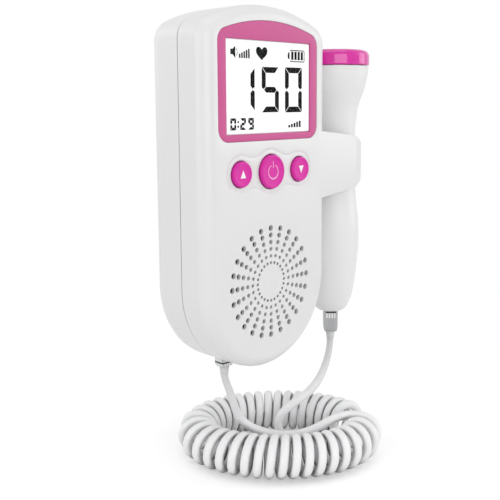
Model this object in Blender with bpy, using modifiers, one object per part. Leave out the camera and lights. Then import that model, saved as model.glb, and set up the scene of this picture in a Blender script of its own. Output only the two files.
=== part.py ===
"""Handheld heartbeat monitor with a display, three buttons, a clipped probe and a curly cord.

Metres, +Z up, +X to the viewer's right on the face, -Y out of the face.
The origin is on the flat back, level with the loudspeaker's centre.
"""

import math

import bmesh
import bpy
import numpy as np
from mathutils import Matrix, Vector

# Fits and resolutions
clearance = 0.0003
overrun = 0.001
body_steps = 24
corner_steps = 4
arc_steps = 8
edge_steps = 3
turned_steps = 24
weld_distance = 0.00001

# Casing
body_half_width = 0.033
body_height = 0.135
body_top_radius = 0.071
body_corner_radius = 0.008
front_edge_radius = 0.005
back_edge_radius = 0.006
face_wall = 0.0024
cover_wall = 0.002
seam_depth = 0.0133

# Display
bezel_side_margin = 0.0069
bezel_top_margin = 0.0062
bezel_button_gap = 0.0118
bezel_top_radius = 0.075
bezel_corner_radius = 0.0045
bezel_thickness = 0.0012
view_side_margin = 0.0038
view_bottom_margin = 0.0023
view_top_margin = 0.0068
window_margin = 0.0010
window_thickness = 0.0008
glass_side_margin = 0.0013
glass_bottom_margin = 0.0033
glass_top_margin = 0.0022
glass_thickness = 0.0024
light_side_margin = 0.0005
light_bottom_margin = 0.0009
light_top_margin = 0.0016
light_thickness = 0.0022
strip_side_margin = 0.0023
strip_height = 0.0020
strip_margin = 0.0006

# Buttons
button_speaker_gap = 0.0171
button_spacing = 0.0157
small_button_radius = 0.00465
large_button_radius = 0.00625
button_protrusion = 0.0011
button_edge_radius = 0.0006
button_travel = 0.0006
flange_overlap = 0.0012
flange_thickness = 0.0010
button_stem_radius = 0.0016
travel_reserve = 0.0001
surround_margin = 0.0016
surround_neck = 0.0053
surround_waist_share = 0.57
surround_steps = 16
surround_thickness = 0.0012
switch_width = 0.0060
switch_height = 0.0018
plunger_radius = 0.0015
plunger_height = 0.0008

# Loudspeaker
grille_inner_radius = 0.00724
grille_margin = 0.0041
grille_ring_step = 0.00263
grille_spokes = 24
grille_small_hole = 0.0011
grille_large_hole = 0.0022
grille_sides = 6
speaker_post_gap = 0.0010
speaker_rim_thickness = 0.0012
speaker_cone_radius = 0.0140
speaker_cone_depth = 0.0030
magnet_radius = 0.0088
magnet_depth = 0.0065
gasket_width = 0.0024
gasket_thickness = 0.0008
cloth_thickness = 0.0003

# Circuit board and its fixings
board_side_margin = 0.0095
board_magnet_gap = 0.0017
board_top_margin = 0.0066
board_depth = 0.0093
board_thickness = 0.0016
board_corner_radius = 0.0030
board_post_radius = 0.0018
board_upper_post_inset = 0.0075
board_upper_post_drop = 0.0020
board_lower_post_inset = 0.0035
board_lower_post_gap = 0.0035
board_screw_radius = 0.0007
board_screw_head_radius = 0.0016
board_screw_head = 0.0010
board_screw_length = 0.0042
screw_side_share = 0.6
screw_top_share = 0.7
chip_width = 0.0090
chip_thickness = 0.0014
chip_speaker_gap = 0.0040

# Case screws
case_post_inset = 0.0064
case_post_lower_z = 0.0080
case_post_drop = 0.0170
case_post_radius = 0.0024
case_boss_radius = 0.0034
case_screw_radius = 0.0011
case_screw_head_radius = 0.0020
case_screw_head = 0.0020
case_screw_length = 0.0125
case_head_depth = 0.0080

# Cells and their door
cell_radius = 0.00725
cell_length = 0.0495
cell_nub_radius = 0.0027
cell_nub_height = 0.0010
cell_edge_radius = 0.0006
contact_thickness = 0.0005
contact_half_width = 0.0050
contact_height = 0.0100
bay_screw_gap = 0.0034
bay_wall = 0.0012
bay_ledge = 0.0018
bay_ledge_thickness = 0.0012
door_thickness = 0.0017
door_corner_radius = 0.0020
door_grip_radius = 0.0090
door_grip_depth = 0.0006

# Clip arm on the front cover
clip_play = 0.0004
clip_wall = 0.0017
clip_rise = 0.0007
clip_root_half_height = 0.0137
clip_front_half_height = 0.0111
clip_side_half_height = 0.0078
clip_tip_half_height = 0.0045
clip_tip_degrees = 12
clip_edge_radius = 0.0005
clip_steps = 10
clip_root_overlap = 0.0060

# Probe
neck_radius = 0.0105
probe_head_radius = 0.0156
probe_bulge_radius = 0.0119
probe_end_radius = 0.0054
probe_gap = 0.0029
probe_wall = 0.0020
grip_length = 0.0507
neck_below_clip = 0.0143
neck_above_clip = 0.0186
head_length = 0.0215
cap_height = 0.0064
cap_edge_radius = 0.0026
cap_wall = 0.0012
cap_spigot_length = 0.0040
disc_recess = 0.0010
disc_thickness = 0.0020
backing_thickness = 0.0045
backing_recess = 0.0006
probe_board_margin = 0.0020
probe_board_thickness = 0.0012

# Plugs and sockets
plug_width = 0.0062
plug_depth = 0.0050
probe_plug_drop = 0.0100
probe_plug_length = 0.0170
probe_plug_degrees = -45.5
plug_edge_radius = 0.0004
socket_wall = 0.0013
socket_roof = 0.0018
probe_socket_rise = 0.0055
probe_socket_height = 0.0114
unit_plug_x = -0.0060
unit_plug_inset = 0.0095
unit_plug_drop = 0.0030
unit_plug_length = 0.0150
unit_socket_rise = 0.0048
unit_socket_wall = 0.0022

# Curly cord: its ring lies below the unit
cord_diameter = 0.0036
helix_radius = 0.0067
ring_x = 0.0203
ring_y = -0.0150
ring_z = -0.0700
ring_half_width = 0.0340
ring_half_depth = 0.0236
ring_degrees = -45.5
ring_start_degrees = 0
ring_end_degrees = -335
points_per_curl = 8
curl_gap = 0.0004
lead_point_spacing = 0.0080
unit_lead_route = [
    (-0.0050, -0.0106, -0.0450),
    (-0.0030, -0.0116, -0.0520),
    (0.0000, -0.0118, -0.0585),
    (0.0039, -0.0133, -0.0630),
    (0.0086, -0.0160, -0.0660),
    (0.0155, -0.0201, -0.0685),
    (0.0205, -0.0236, -0.0688),
    (0.0282, -0.0287, -0.0668),
    (0.0352, -0.0319, -0.0642),
    (0.0388, -0.0340, -0.0633),
]
probe_lead_route = [
    (0.0492, -0.0180, -0.0415),
    (0.0450, -0.0190, -0.0472),
    (0.0400, -0.0187, -0.0530),
    (0.0340, -0.0161, -0.0583),
    (0.0285, -0.0119, -0.0632),
    (0.0252, -0.0098, -0.0690),
    (0.0258, -0.0120, -0.0745),
    (0.0310, -0.0170, -0.0766),
    (0.0385, -0.0222, -0.0769),
]

# Depths from the back: the door, the cells, their bay, the board and the face
cell_x = cell_radius + clearance
cell_y = -door_thickness - clearance - clearance - cell_radius
bay_floor_y = cell_y - cell_radius - clearance
board_back_y = bay_floor_y - bay_wall - clearance
board_front_y = board_back_y - board_thickness
face_y = board_front_y - board_depth
face_inner_y = face_y + face_wall
seam_y = face_y + seam_depth
back_inner_y = -cover_wall
pocket_depth = bezel_thickness + clearance
window_front_y = face_y + bezel_thickness + clearance
glass_front_y = face_inner_y + clearance
glass_back_y = glass_front_y + glass_thickness
light_front_y = glass_back_y + clearance
speaker_front_y = face_inner_y + 3 * clearance + cloth_thickness + gasket_thickness

# Levels from the loudspeaker up: its posts, the buttons, then the display under the top
body_bottom = -body_half_width
body_top = body_bottom + body_height
case_post_x = body_half_width - case_post_inset
case_post_upper_z = body_top - case_post_drop
speaker_reach = math.hypot(case_post_x - case_post_radius, case_post_lower_z)
speaker_radius = speaker_reach - speaker_post_gap
grille_width = speaker_radius - grille_margin - grille_inner_radius
grille_steps = round(grille_width / grille_ring_step)
button_level = speaker_radius + button_speaker_gap
bezel_half_width = body_half_width - bezel_side_margin
bezel_top = body_top - bezel_top_margin
bezel_bottom = button_level + bezel_button_gap
view_half_width = bezel_half_width - view_side_margin
view_bottom = bezel_bottom + view_bottom_margin
view_top = bezel_top - view_top_margin
glass_half_width = view_half_width + glass_side_margin
glass_bottom = view_bottom - glass_bottom_margin
glass_top = view_top + glass_top_margin
light_half_width = view_half_width + light_side_margin
light_bottom = view_bottom + light_bottom_margin
light_top = view_top + light_top_margin
strip_half_width = view_half_width - strip_side_margin

# The board's outline and fixings, and the bay below its upper screws
board_half_width = body_half_width - board_side_margin
board_bottom = magnet_radius + board_magnet_gap
board_top = body_top - board_top_margin
board_upper_post_x = board_half_width - board_upper_post_inset
board_upper_post_z = board_top - board_upper_post_drop
board_lower_post_x = board_half_width - board_lower_post_inset
board_lower_post_z = speaker_radius + board_lower_post_gap
chip_level = speaker_radius + chip_speaker_gap
bay_half_width = cell_radius + cell_radius + clearance * 3
bay_length = cell_length + cell_nub_height + 2 * contact_thickness + 4 * clearance
bay_top = board_upper_post_z - board_screw_head_radius - bay_screw_gap - bay_wall
bay_bottom = bay_top - bay_length
door_half_width = bay_half_width + bay_ledge
door_bottom = bay_bottom - bay_ledge - clearance * 3
door_top = bay_top + bay_ledge + clearance * 3

# The clip beside the buttons, the probe in it and the plugs
clip_radius = neck_radius + clip_play + clip_wall
clip_middle = button_level + clip_rise
probe_x = body_half_width + probe_gap + probe_head_radius
probe_y = face_y + clip_radius
neck_bottom = clip_middle - neck_below_clip
neck_top = clip_middle + neck_above_clip
probe_bottom = neck_bottom - grip_length
probe_joint = neck_top + head_length
probe_top = probe_joint + cap_height
probe_plug_bottom = probe_bottom - probe_plug_drop
probe_socket_bottom = probe_bottom + probe_socket_rise
probe_socket_top = probe_socket_bottom + probe_socket_height
probe_board_bottom = probe_socket_top + clearance
unit_plug_bottom = body_bottom - unit_plug_drop
unit_socket_bottom = body_bottom + unit_socket_rise

parts = bpy.data.collections.new("heartbeat_monitor")
guides = bpy.data.collections.new("cutters")


def clear_scene():
    """Remove what the start-up scene holds and link the two collections."""
    for old in list(bpy.data.objects):
        bpy.data.objects.remove(old, do_unlink=True)
    bpy.context.scene.collection.children.link(parts)
    bpy.context.scene.collection.children.link(guides)


def add_object(name, data, guide=False):
    """Link a new object, either a part or a hidden cutter."""
    item = bpy.data.objects.new(name, data)
    (guides if guide else parts).objects.link(item)
    if guide:
        item.hide_render = True
        item.display_type = "WIRE"
    return item


def paint(item, colour, roughness, metallic=0.0, alpha=1.0):
    """Give an object its own Principled material."""
    made = bpy.data.materials.new(item.name + "_finish")
    made.use_nodes = True
    shader = made.node_tree.nodes["Principled BSDF"]
    shader.inputs["Base Color"].default_value = (*colour, 1.0)
    shader.inputs["Roughness"].default_value = roughness
    shader.inputs["Metallic"].default_value = metallic
    shader.inputs["Alpha"].default_value = alpha
    made.diffuse_color = (*colour, alpha)
    item.data.materials.clear()
    item.data.materials.append(made)
    return item


def smooth(item, degrees=35):
    """Shade round faces smooth and keep the sharp edges."""
    item.data.shade_smooth()
    item.data.set_sharp_from_angle(angle=math.radians(degrees))
    return item


def arc(centre_x, centre_z, radius, start, stop, steps):
    """Points on a circle from one angle to another, in degrees, both ends included."""
    angles = [math.radians(start + (stop - start) * k / steps) for k in range(steps + 1)]
    return [(centre_x + radius * math.cos(a), centre_z + radius * math.sin(a)) for a in angles]


def domed_outline(half_width, top, top_radius, corner_radius, bottom_points, inset=0):
    """A straight-sided outline under a shallow arc; bottom_points run from left to right."""
    centre_z = top - top_radius
    reach = top_radius - corner_radius
    corner_x = half_width - corner_radius
    corner_z = centre_z + math.sqrt(reach ** 2 - corner_x ** 2)
    tilt = math.degrees(math.atan2(corner_z - centre_z, corner_x))
    round_in = corner_radius - inset
    right = arc(corner_x, corner_z, round_in, 0, tilt, corner_steps)
    over = arc(0, centre_z, top_radius - inset, tilt, 180 - tilt, arc_steps)[1:-1]
    left = arc(-corner_x, corner_z, round_in, 180 - tilt, 180, corner_steps)
    return bottom_points + right + over + left


def body_outline(inset=0):
    """Outline of the casing: a half circle below, straight sides and a shallow arc above."""
    below = arc(0, 0, body_half_width - inset, 180, 360, body_steps)
    return domed_outline(body_half_width, body_top, body_top_radius, body_corner_radius, below, inset)


def bezel_outline(inset=0):
    """Outline of the display's coloured frame."""
    middle_x = bezel_half_width - bezel_corner_radius
    middle_z = bezel_bottom + bezel_corner_radius
    radius = bezel_corner_radius - inset
    below = arc(-middle_x, middle_z, radius, 180, 270, corner_steps)
    below += arc(middle_x, middle_z, radius, 270, 360, corner_steps)
    return domed_outline(
        bezel_half_width, bezel_top, bezel_top_radius, bezel_corner_radius, below, inset
    )


def rounded_rectangle(left, right, bottom, top, radius, steps=corner_steps):
    """Rectangle with round corners, anticlockwise."""
    points = arc(left + radius, bottom + radius, radius, 180, 270, steps)
    points += arc(right - radius, bottom + radius, radius, 270, 360, steps)
    points += arc(right - radius, top - radius, radius, 0, 90, steps)
    points += arc(left + radius, top - radius, radius, 90, 180, steps)
    return points


def door_outline(bottom, grow=0):
    """Outline of the cell door or its way: square corners below, round ones above."""
    half = door_half_width + grow
    top = door_top + grow
    radius = door_corner_radius + grow
    points = [(-half, bottom), (half, bottom)]
    points += arc(half - radius, top - radius, radius, 0, 90, corner_steps)
    points += arc(-half + radius, top - radius, radius, 90, 180, corner_steps)
    return points


def rectangle(left, right, bottom, top):
    """Plain rectangle, anticlockwise."""
    return [(left, bottom), (right, bottom), (right, top), (left, top)]


def surround_outline(inset=0):
    """One smooth line round the three buttons, drawn in a little between them."""
    small = small_button_radius + surround_margin - inset
    large = large_button_radius + surround_margin - inset
    neck = surround_neck - inset
    end = button_spacing + small
    waist = button_spacing * surround_waist_share
    upper = []
    for step in range(2 * surround_steps + 1):
        x = -end * math.cos(math.pi * step / (2 * surround_steps))
        reach = abs(x)
        if reach > button_spacing:
            height = math.sqrt(max(0, small ** 2 - (reach - button_spacing) ** 2))
        elif reach > waist:
            ease = 0.5 - 0.5 * math.cos(math.pi * (reach - waist) / (button_spacing - waist))
            height = neck + ease * (small - neck)
        else:
            ease = 0.5 + 0.5 * math.cos(math.pi * reach / waist)
            height = neck + ease * (large - neck)
        upper.append((x, height))
    lower = [(x, -h) for x, h in upper[1:-1]]
    ring = upper[::-1] + lower
    return [(x, button_level + h) for x, h in ring]


def plate(name, outline, front, back, front_round=0, back_round=0, steps=edge_steps, guide=False):
    """Extrude an outline in X and Z along Y and round its front and back edges."""
    mesh = bpy.data.meshes.new(name)
    shape = bmesh.new()
    bottom = [shape.verts.new((x, front, z)) for x, z in outline]
    face = shape.faces.new(bottom)
    moved = bmesh.ops.extrude_face_region(shape, geom=[face])
    grown = [item for item in moved["geom"] if isinstance(item, bmesh.types.BMVert)]
    bmesh.ops.translate(shape, verts=grown, vec=(0, back - front, 0))
    bmesh.ops.recalc_face_normals(shape, faces=shape.faces)
    middle = (front + back) / 2
    for radius, is_front in ((front_round, True), (back_round, False)):
        if radius > 0:
            rim = [
                edge for edge in shape.edges
                if all((v.co.y < middle) == is_front for v in edge.verts)
                and len(edge.link_faces) == 2
                and abs(edge.verts[0].co.y - (front if is_front else back)) < weld_distance
                and abs(edge.verts[1].co.y - (front if is_front else back)) < weld_distance
            ]
            bmesh.ops.bevel(
                shape, geom=rim, offset=radius, offset_type="OFFSET", segments=steps,
                profile=0.5, affect="EDGES", clamp_overlap=True,
            )
    shape.to_mesh(mesh)
    shape.free()
    return smooth(add_object(name, mesh, guide))


def box(name, low, high, guide=False, location=(0, 0, 0), turn_degrees=0, edge=0):
    """A box between two corners, in the object's own axes, with optional round edges."""
    mesh = bpy.data.meshes.new(name)
    shape = bmesh.new()
    bmesh.ops.create_cube(shape, size=1)
    size = [h - l for l, h in zip(low, high)]
    middle = [(h + l) / 2 for l, h in zip(low, high)]
    bmesh.ops.scale(shape, verts=shape.verts, vec=size)
    bmesh.ops.translate(shape, verts=shape.verts, vec=middle)
    if edge > 0:
        bmesh.ops.bevel(
            shape, geom=list(shape.edges), offset=edge, offset_type="OFFSET", segments=1,
            profile=0.5, affect="EDGES",
        )
    shape.to_mesh(mesh)
    shape.free()
    item = add_object(name, mesh, guide)
    item.location = location
    item.rotation_euler = (0, 0, math.radians(turn_degrees))
    return item


def rod(name, x, z, radius, front, back, sides=turned_steps, guide=False):
    """A cylinder along Y."""
    mesh = bpy.data.meshes.new(name)
    shape = bmesh.new()
    turn = Matrix.Rotation(math.radians(90), 4, "X")
    place = Matrix.Translation((x, (front + back) / 2, z))
    bmesh.ops.create_cone(
        shape, cap_ends=True, segments=sides, radius1=radius, radius2=radius,
        depth=back - front, matrix=place @ turn,
    )
    shape.to_mesh(mesh)
    shape.free()
    return smooth(add_object(name, mesh, guide))


def turned(name, profile, steps=turned_steps, location=(0, 0, 0), along_y=False, guide=False):
    """Turn a profile of radius and height; along_y points its height out of the face."""
    mesh = bpy.data.meshes.new(name)
    mesh.from_pydata([(r, 0, z) for r, z in profile], [(k, k + 1) for k in range(len(profile) - 1)], [])
    item = add_object(name, mesh, guide)
    screw = item.modifiers.new("turn", "SCREW")
    screw.steps = steps
    screw.render_steps = steps
    screw.use_merge_vertices = True
    screw.merge_threshold = weld_distance
    screw.use_smooth_shade = False
    item.location = location
    if along_y:
        item.rotation_euler = (math.radians(90), 0, 0)
    return item


def combine(target, other, operation):
    """Add a Boolean modifier that keeps the exact solver."""
    step = target.modifiers.new(other.name, "BOOLEAN")
    step.operation = operation
    step.solver = "EXACT"
    step.object = other
    return target


def cut(target, other):
    """Take the other object's space out of the target."""
    return combine(target, other, "DIFFERENCE")


def join(target, other):
    """Fuse the other object's space to the target."""
    return combine(target, other, "UNION")


def set_origin(item, point):
    """Move an object's origin to a point and leave its surface where it is."""
    shift = Vector(point) - item.location
    item.data.transform(Matrix.Translation(-shift))
    item.location = point
    return item


def grille_holes():
    """All grille holes as one cutter: rings of round holes that grow outward."""
    mesh = bpy.data.meshes.new("grille_holes")
    shape = bmesh.new()
    turn = Matrix.Rotation(math.radians(90), 4, "X")
    depth = face_wall + 2 * overrun
    for ring in range(grille_steps + 1):
        share = ring / grille_steps
        radius = grille_inner_radius + ring * grille_ring_step
        hole = grille_small_hole + share * (grille_large_hole - grille_small_hole)
        for spoke in range(grille_spokes):
            angle = 2 * math.pi * spoke / grille_spokes
            spin = Matrix.Rotation(-angle, 4, "Y")
            place = spin @ Matrix.Translation((radius, face_y + face_wall / 2, 0))
            bmesh.ops.create_cone(
                shape, cap_ends=True, segments=grille_sides, radius1=hole / 2, radius2=hole / 2,
                depth=depth, matrix=place @ turn,
            )
    shape.to_mesh(mesh)
    shape.free()
    return add_object("grille_holes", mesh, guide=True)


def clip_half_height(degrees):
    """Half height of the clip arm at an angle round the probe; it narrows to its tip."""
    reach = np.interp(
        degrees, [-90, -58, -20, clip_tip_degrees],
        [clip_front_half_height, clip_side_half_height,
         (clip_side_half_height + clip_tip_half_height) / 2 + clip_edge_radius, clip_tip_half_height],
    )
    return float(reach)


def strip_solid(name, stations, guide=True):
    """Loft a wall through stations of (outer x, y), (inner x, y), bottom z and top z."""
    mesh = bpy.data.meshes.new(name)
    shape = bmesh.new()
    rings = []
    for outer, inner, low, high in stations:
        ring = [(*outer, low), (*outer, high), (*inner, high), (*inner, low)]
        rings.append([shape.verts.new(p) for p in ring])
    for first, second in zip(rings, rings[1:]):
        for k in range(4):
            shape.faces.new((first[k], first[(k + 1) % 4], second[(k + 1) % 4], second[k]))
    shape.faces.new(rings[0])
    shape.faces.new(rings[-1])
    bmesh.ops.recalc_face_normals(shape, faces=shape.faces)
    shape.to_mesh(mesh)
    shape.free()
    return add_object(name, mesh, guide)


def around_probe(degrees, radius):
    """A point at a radius and an angle round the probe's axis."""
    angle = math.radians(degrees)
    return (probe_x + radius * math.cos(angle), probe_y + radius * math.sin(angle))


def clip_arm():
    """The arm: a flat root flush with the face, then a curve round the probe's front and side."""
    inner = clip_radius - clip_wall
    root_x = body_half_width - clip_root_overlap
    stations = []
    for share in (0, 0.5):
        x = root_x + share * (probe_x - root_x)
        half = clip_root_half_height + share * (clip_front_half_height - clip_root_half_height)
        stations.append(((x, face_y), (x, face_y + clip_wall), clip_middle - half, clip_middle + half))
    for k in range(clip_steps + 1):
        degrees = -90 + (90 + clip_tip_degrees) * k / clip_steps
        half = clip_half_height(degrees)
        stations.append((
            around_probe(degrees, clip_radius), around_probe(degrees, inner),
            clip_middle - half, clip_middle + half,
        ))
    return strip_solid("clip_arm", stations)


def clip_jaw():
    """The other jaw: it curves from the arm's root round the probe's side next to the casing."""
    inner = clip_radius - clip_wall
    stations = []
    for k in range(clip_steps + 1):
        degrees = -80 - (100 + clip_tip_degrees) * k / clip_steps
        fade = k / clip_steps
        half = clip_half_height(-90) + fade * (clip_side_half_height - clip_front_half_height)
        half -= clip_edge_radius
        stations.append((
            around_probe(degrees, clip_radius - weld_distance), around_probe(degrees, inner),
            clip_middle - half, clip_middle + half,
        ))
    return strip_solid("clip_jaw", stations)


def make_front_cover():
    """Front shell with its posts, pockets, grille and clip."""
    cover = plate("front_cover", body_outline(), face_y, seam_y - clearance / 2, front_edge_radius)
    cavity = plate(
        "front_cavity", body_outline(cover_wall), face_inner_y, seam_y + overrun,
        front_edge_radius - cover_wall, guide=True,
    )
    cut(cover, cavity)
    for side in (-1, 1):
        for level in (case_post_lower_z, case_post_upper_z):
            tag = "%s_%s" % ("left" if side < 0 else "right", "low" if level < button_level else "high")
            post = rod(
                "case_post_" + tag, side * case_post_x, level, case_post_radius,
                face_inner_y - overrun, seam_y - clearance / 2, guide=True, sides=16,
            )
            join(cover, post)
            bore = rod(
                "case_bore_" + tag, side * case_post_x, level, case_screw_radius + clearance,
                face_inner_y + overrun, seam_y + overrun, guide=True, sides=12,
            )
            cut(cover, bore)
        for x, level, tag in (
            (board_upper_post_x, board_upper_post_z, "high"),
            (board_lower_post_x, board_lower_post_z, "low"),
        ):
            tag = "%s_%s" % ("left" if side < 0 else "right", tag)
            post = rod(
                "board_post_" + tag, side * x, level, board_post_radius,
                face_inner_y - overrun, board_front_y - clearance, guide=True, sides=12,
            )
            join(cover, post)
            bore = rod(
                "board_bore_" + tag, side * x, level, board_screw_radius + clearance,
                board_front_y - board_screw_length, board_front_y + overrun, guide=True, sides=8,
            )
            cut(cover, bore)
    join(cover, clip_arm())
    join(cover, clip_jaw())
    pocket = plate(
        "bezel_pocket", bezel_outline(-clearance), face_y - overrun, face_y + pocket_depth, guide=True,
    )
    cut(cover, pocket)
    reach = window_margin + clearance
    opening = plate(
        "window_opening",
        rectangle(-view_half_width - reach, view_half_width + reach, view_bottom - reach, view_top + reach),
        face_y, face_inner_y + overrun, guide=True,
    )
    cut(cover, opening)
    recess = plate(
        "surround_pocket", surround_outline(-clearance), face_y - overrun,
        face_y + surround_thickness + clearance, guide=True,
    )
    cut(cover, recess)
    for x, radius, tag in button_list():
        hole = rod(
            "hole_" + tag, x, button_level, radius + clearance, face_y - overrun,
            face_inner_y + overrun, guide=True, sides=turned_steps,
        )
        cut(cover, hole)
    cut(cover, grille_holes())
    return paint(cover, (0.83, 0.83, 0.83), 0.32)


def button_list():
    """Place, radius and name of each button."""
    return (
        (-button_spacing, small_button_radius, "button_up"),
        (0, large_button_radius, "button_power"),
        (button_spacing, small_button_radius, "button_down"),
    )


def make_back_cover():
    """Back shell with its cell bay, screw bosses and the way in for the plug."""
    cover = plate("back_cover", body_outline(), seam_y + clearance / 2, 0, 0, back_edge_radius)
    cavity = plate(
        "back_cavity", body_outline(cover_wall), seam_y - overrun, back_inner_y,
        0, back_edge_radius - cover_wall, guide=True,
    )
    cut(cover, cavity)
    ledge_outer = door_half_width + clearance + bay_wall
    rim = box(
        "bay_rim",
        (-ledge_outer, back_inner_y - bay_ledge_thickness, door_bottom - clearance - bay_wall),
        (ledge_outer, back_inner_y + overrun, door_top + clearance + bay_wall), guide=True,
    )
    join(cover, rim)
    tub = box(
        "bay_tub", (-bay_half_width - bay_wall, bay_floor_y - bay_wall, bay_bottom - bay_wall),
        (bay_half_width + bay_wall, back_inner_y - clearance, bay_top + bay_wall), guide=True,
    )
    join(cover, tub)
    for side in (-1, 1):
        for level in (case_post_lower_z, case_post_upper_z):
            tag = "%s_%s" % ("left" if side < 0 else "right", "low" if level < button_level else "high")
            boss = rod(
                "case_boss_" + tag, side * case_post_x, level, case_boss_radius,
                seam_y + clearance / 2, back_inner_y + overrun, guide=True, sides=16,
            )
            join(cover, boss)
            way = rod(
                "case_way_" + tag, side * case_post_x, level, case_screw_radius + clearance,
                seam_y - overrun, overrun, guide=True, sides=12,
            )
            cut(cover, way)
            seat = rod(
                "case_seat_" + tag, side * case_post_x, level, case_screw_head_radius + clearance,
                -case_head_depth, overrun, guide=True, sides=16,
            )
            cut(cover, seat)
    inside = box(
        "bay_inside", (-bay_half_width, bay_floor_y, bay_bottom),
        (bay_half_width, overrun, bay_top), guide=True,
    )
    cut(cover, inside)
    door_way = plate(
        "door_way", door_outline(door_bottom - clearance, clearance),
        -door_thickness - clearance, overrun, guide=True,
    )
    cut(cover, door_way)
    plug_way = box(
        "plug_way",
        (unit_plug_x - plug_width / 2 - clearance, -unit_plug_inset - plug_depth / 2 - clearance,
         body_bottom - overrun),
        (unit_plug_x + plug_width / 2 + clearance, -unit_plug_inset + plug_depth / 2 + clearance,
         unit_socket_bottom), guide=True,
    )
    cut(cover, plug_way)
    return paint(cover, (0.80, 0.80, 0.80), 0.35)


def make_display():
    """Bezel, window, display glass, its light and the contact strip."""
    bezel = plate(
        "display_bezel", bezel_outline(), face_y, face_y + bezel_thickness, clearance, 0, 1,
    )
    view = plate(
        "view_opening", rectangle(-view_half_width, view_half_width, view_bottom, view_top),
        face_y - overrun, face_y + bezel_thickness + overrun, guide=True,
    )
    cut(bezel, view)
    paint(bezel, (0.65, 0.14, 0.33), 0.35)
    window = box(
        "display_window",
        (-view_half_width - window_margin, window_front_y, view_bottom - window_margin),
        (view_half_width + window_margin, window_front_y + window_thickness, view_top + window_margin),
    )
    paint(window, (0.95, 0.97, 0.97), 0.05, alpha=0.2)
    glass = box(
        "display_glass", (-glass_half_width, glass_front_y, glass_bottom),
        (glass_half_width, glass_back_y, glass_top),
    )
    paint(glass, (0.88, 0.89, 0.88), 0.25)
    light = box(
        "back_light", (-light_half_width, light_front_y, light_bottom),
        (light_half_width, light_front_y + light_thickness, light_top),
    )
    paint(light, (0.85, 0.85, 0.82), 0.4)
    strip = box(
        "contact_strip", (-strip_half_width, light_front_y, glass_bottom + strip_margin),
        (strip_half_width, board_front_y - clearance, glass_bottom + strip_margin + strip_height),
    )
    paint(strip, (0.35, 0.20, 0.30), 0.7)


def make_buttons():
    """Surround, the three buttons and the switches behind them."""
    surround = plate(
        "button_surround", surround_outline(), face_y, face_y + surround_thickness,
    )
    stem_end = board_front_y - clearance - switch_height - plunger_height
    stem_end -= button_travel + travel_reserve
    for x, radius, name in button_list():
        hole = rod(
            "surround_" + name, x, button_level, radius + clearance, face_y - overrun,
            face_y + surround_thickness + overrun, guide=True,
        )
        cut(surround, hole)
        top = button_protrusion
        flange_top = -face_wall - clearance
        flange = radius + flange_overlap
        profile = [(0, top)] + [
            (radius - button_edge_radius + button_edge_radius * math.sin(math.radians(a)),
             top - button_edge_radius + button_edge_radius * math.cos(math.radians(a)))
            for a in (0, 30, 60, 90)
        ] + [
            (radius, flange_top), (flange, flange_top), (flange, flange_top - flange_thickness),
            (button_stem_radius, flange_top - flange_thickness),
            (button_stem_radius, face_y - stem_end), (0, face_y - stem_end),
        ]
        button = turned(name, profile, location=(x, face_y, button_level), along_y=True)
        paint(button, (0.76, 0.035, 0.40), 0.35)
        switch_name = name.replace("button", "switch")
        switch = box(
            switch_name,
            (-switch_width / 2, -switch_height, -switch_width / 2),
            (switch_width / 2, 0, switch_width / 2),
            location=(x, board_front_y - clearance, button_level),
        )
        plunger = rod(
            "plunger_" + name, x, button_level, plunger_radius,
            board_front_y - clearance - switch_height - plunger_height,
            board_front_y - clearance - switch_height / 2, sides=12, guide=True,
        )
        join(switch, plunger)
        paint(switch, (0.05, 0.05, 0.05), 0.5)
    paint(surround, (0.83, 0.83, 0.83), 0.34)


def make_speaker():
    """Cloth, gasket and loudspeaker behind the grille."""
    cloth_front = face_inner_y + clearance
    cloth = rod(
        "speaker_cloth", 0, 0, speaker_radius - gasket_width / 2, cloth_front,
        cloth_front + cloth_thickness, sides=24,
    )
    paint(cloth, (0.10, 0.10, 0.10), 0.9)
    gasket_front = cloth_front + cloth_thickness + clearance
    inner = speaker_radius - gasket_width
    gasket = rod(
        "speaker_gasket", 0, 0, speaker_radius, gasket_front, gasket_front + gasket_thickness, sides=24,
    )
    ring = rod(
        "gasket_bore", 0, 0, inner, gasket_front - overrun,
        gasket_front + gasket_thickness + overrun, sides=24, guide=True,
    )
    cut(gasket, ring)
    paint(gasket, (0.06, 0.06, 0.06), 0.9)
    rim = speaker_radius
    depth = speaker_rim_thickness
    cone = speaker_cone_radius
    profile = [
        (0, -speaker_cone_depth + depth), (cone / 2, -speaker_cone_depth + depth),
        (rim - gasket_width, 0), (rim, 0), (rim, -depth), (rim - gasket_width, -depth),
        (cone, -depth - speaker_cone_depth), (magnet_radius, -depth - speaker_cone_depth),
        (magnet_radius, -depth - speaker_cone_depth - magnet_depth),
        (0, -depth - speaker_cone_depth - magnet_depth),
    ]
    speaker = turned(
        "speaker", profile, steps=24, location=(0, speaker_front_y, 0), along_y=True,
    )
    paint(speaker, (0.20, 0.20, 0.21), 0.4, 0.6)


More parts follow.
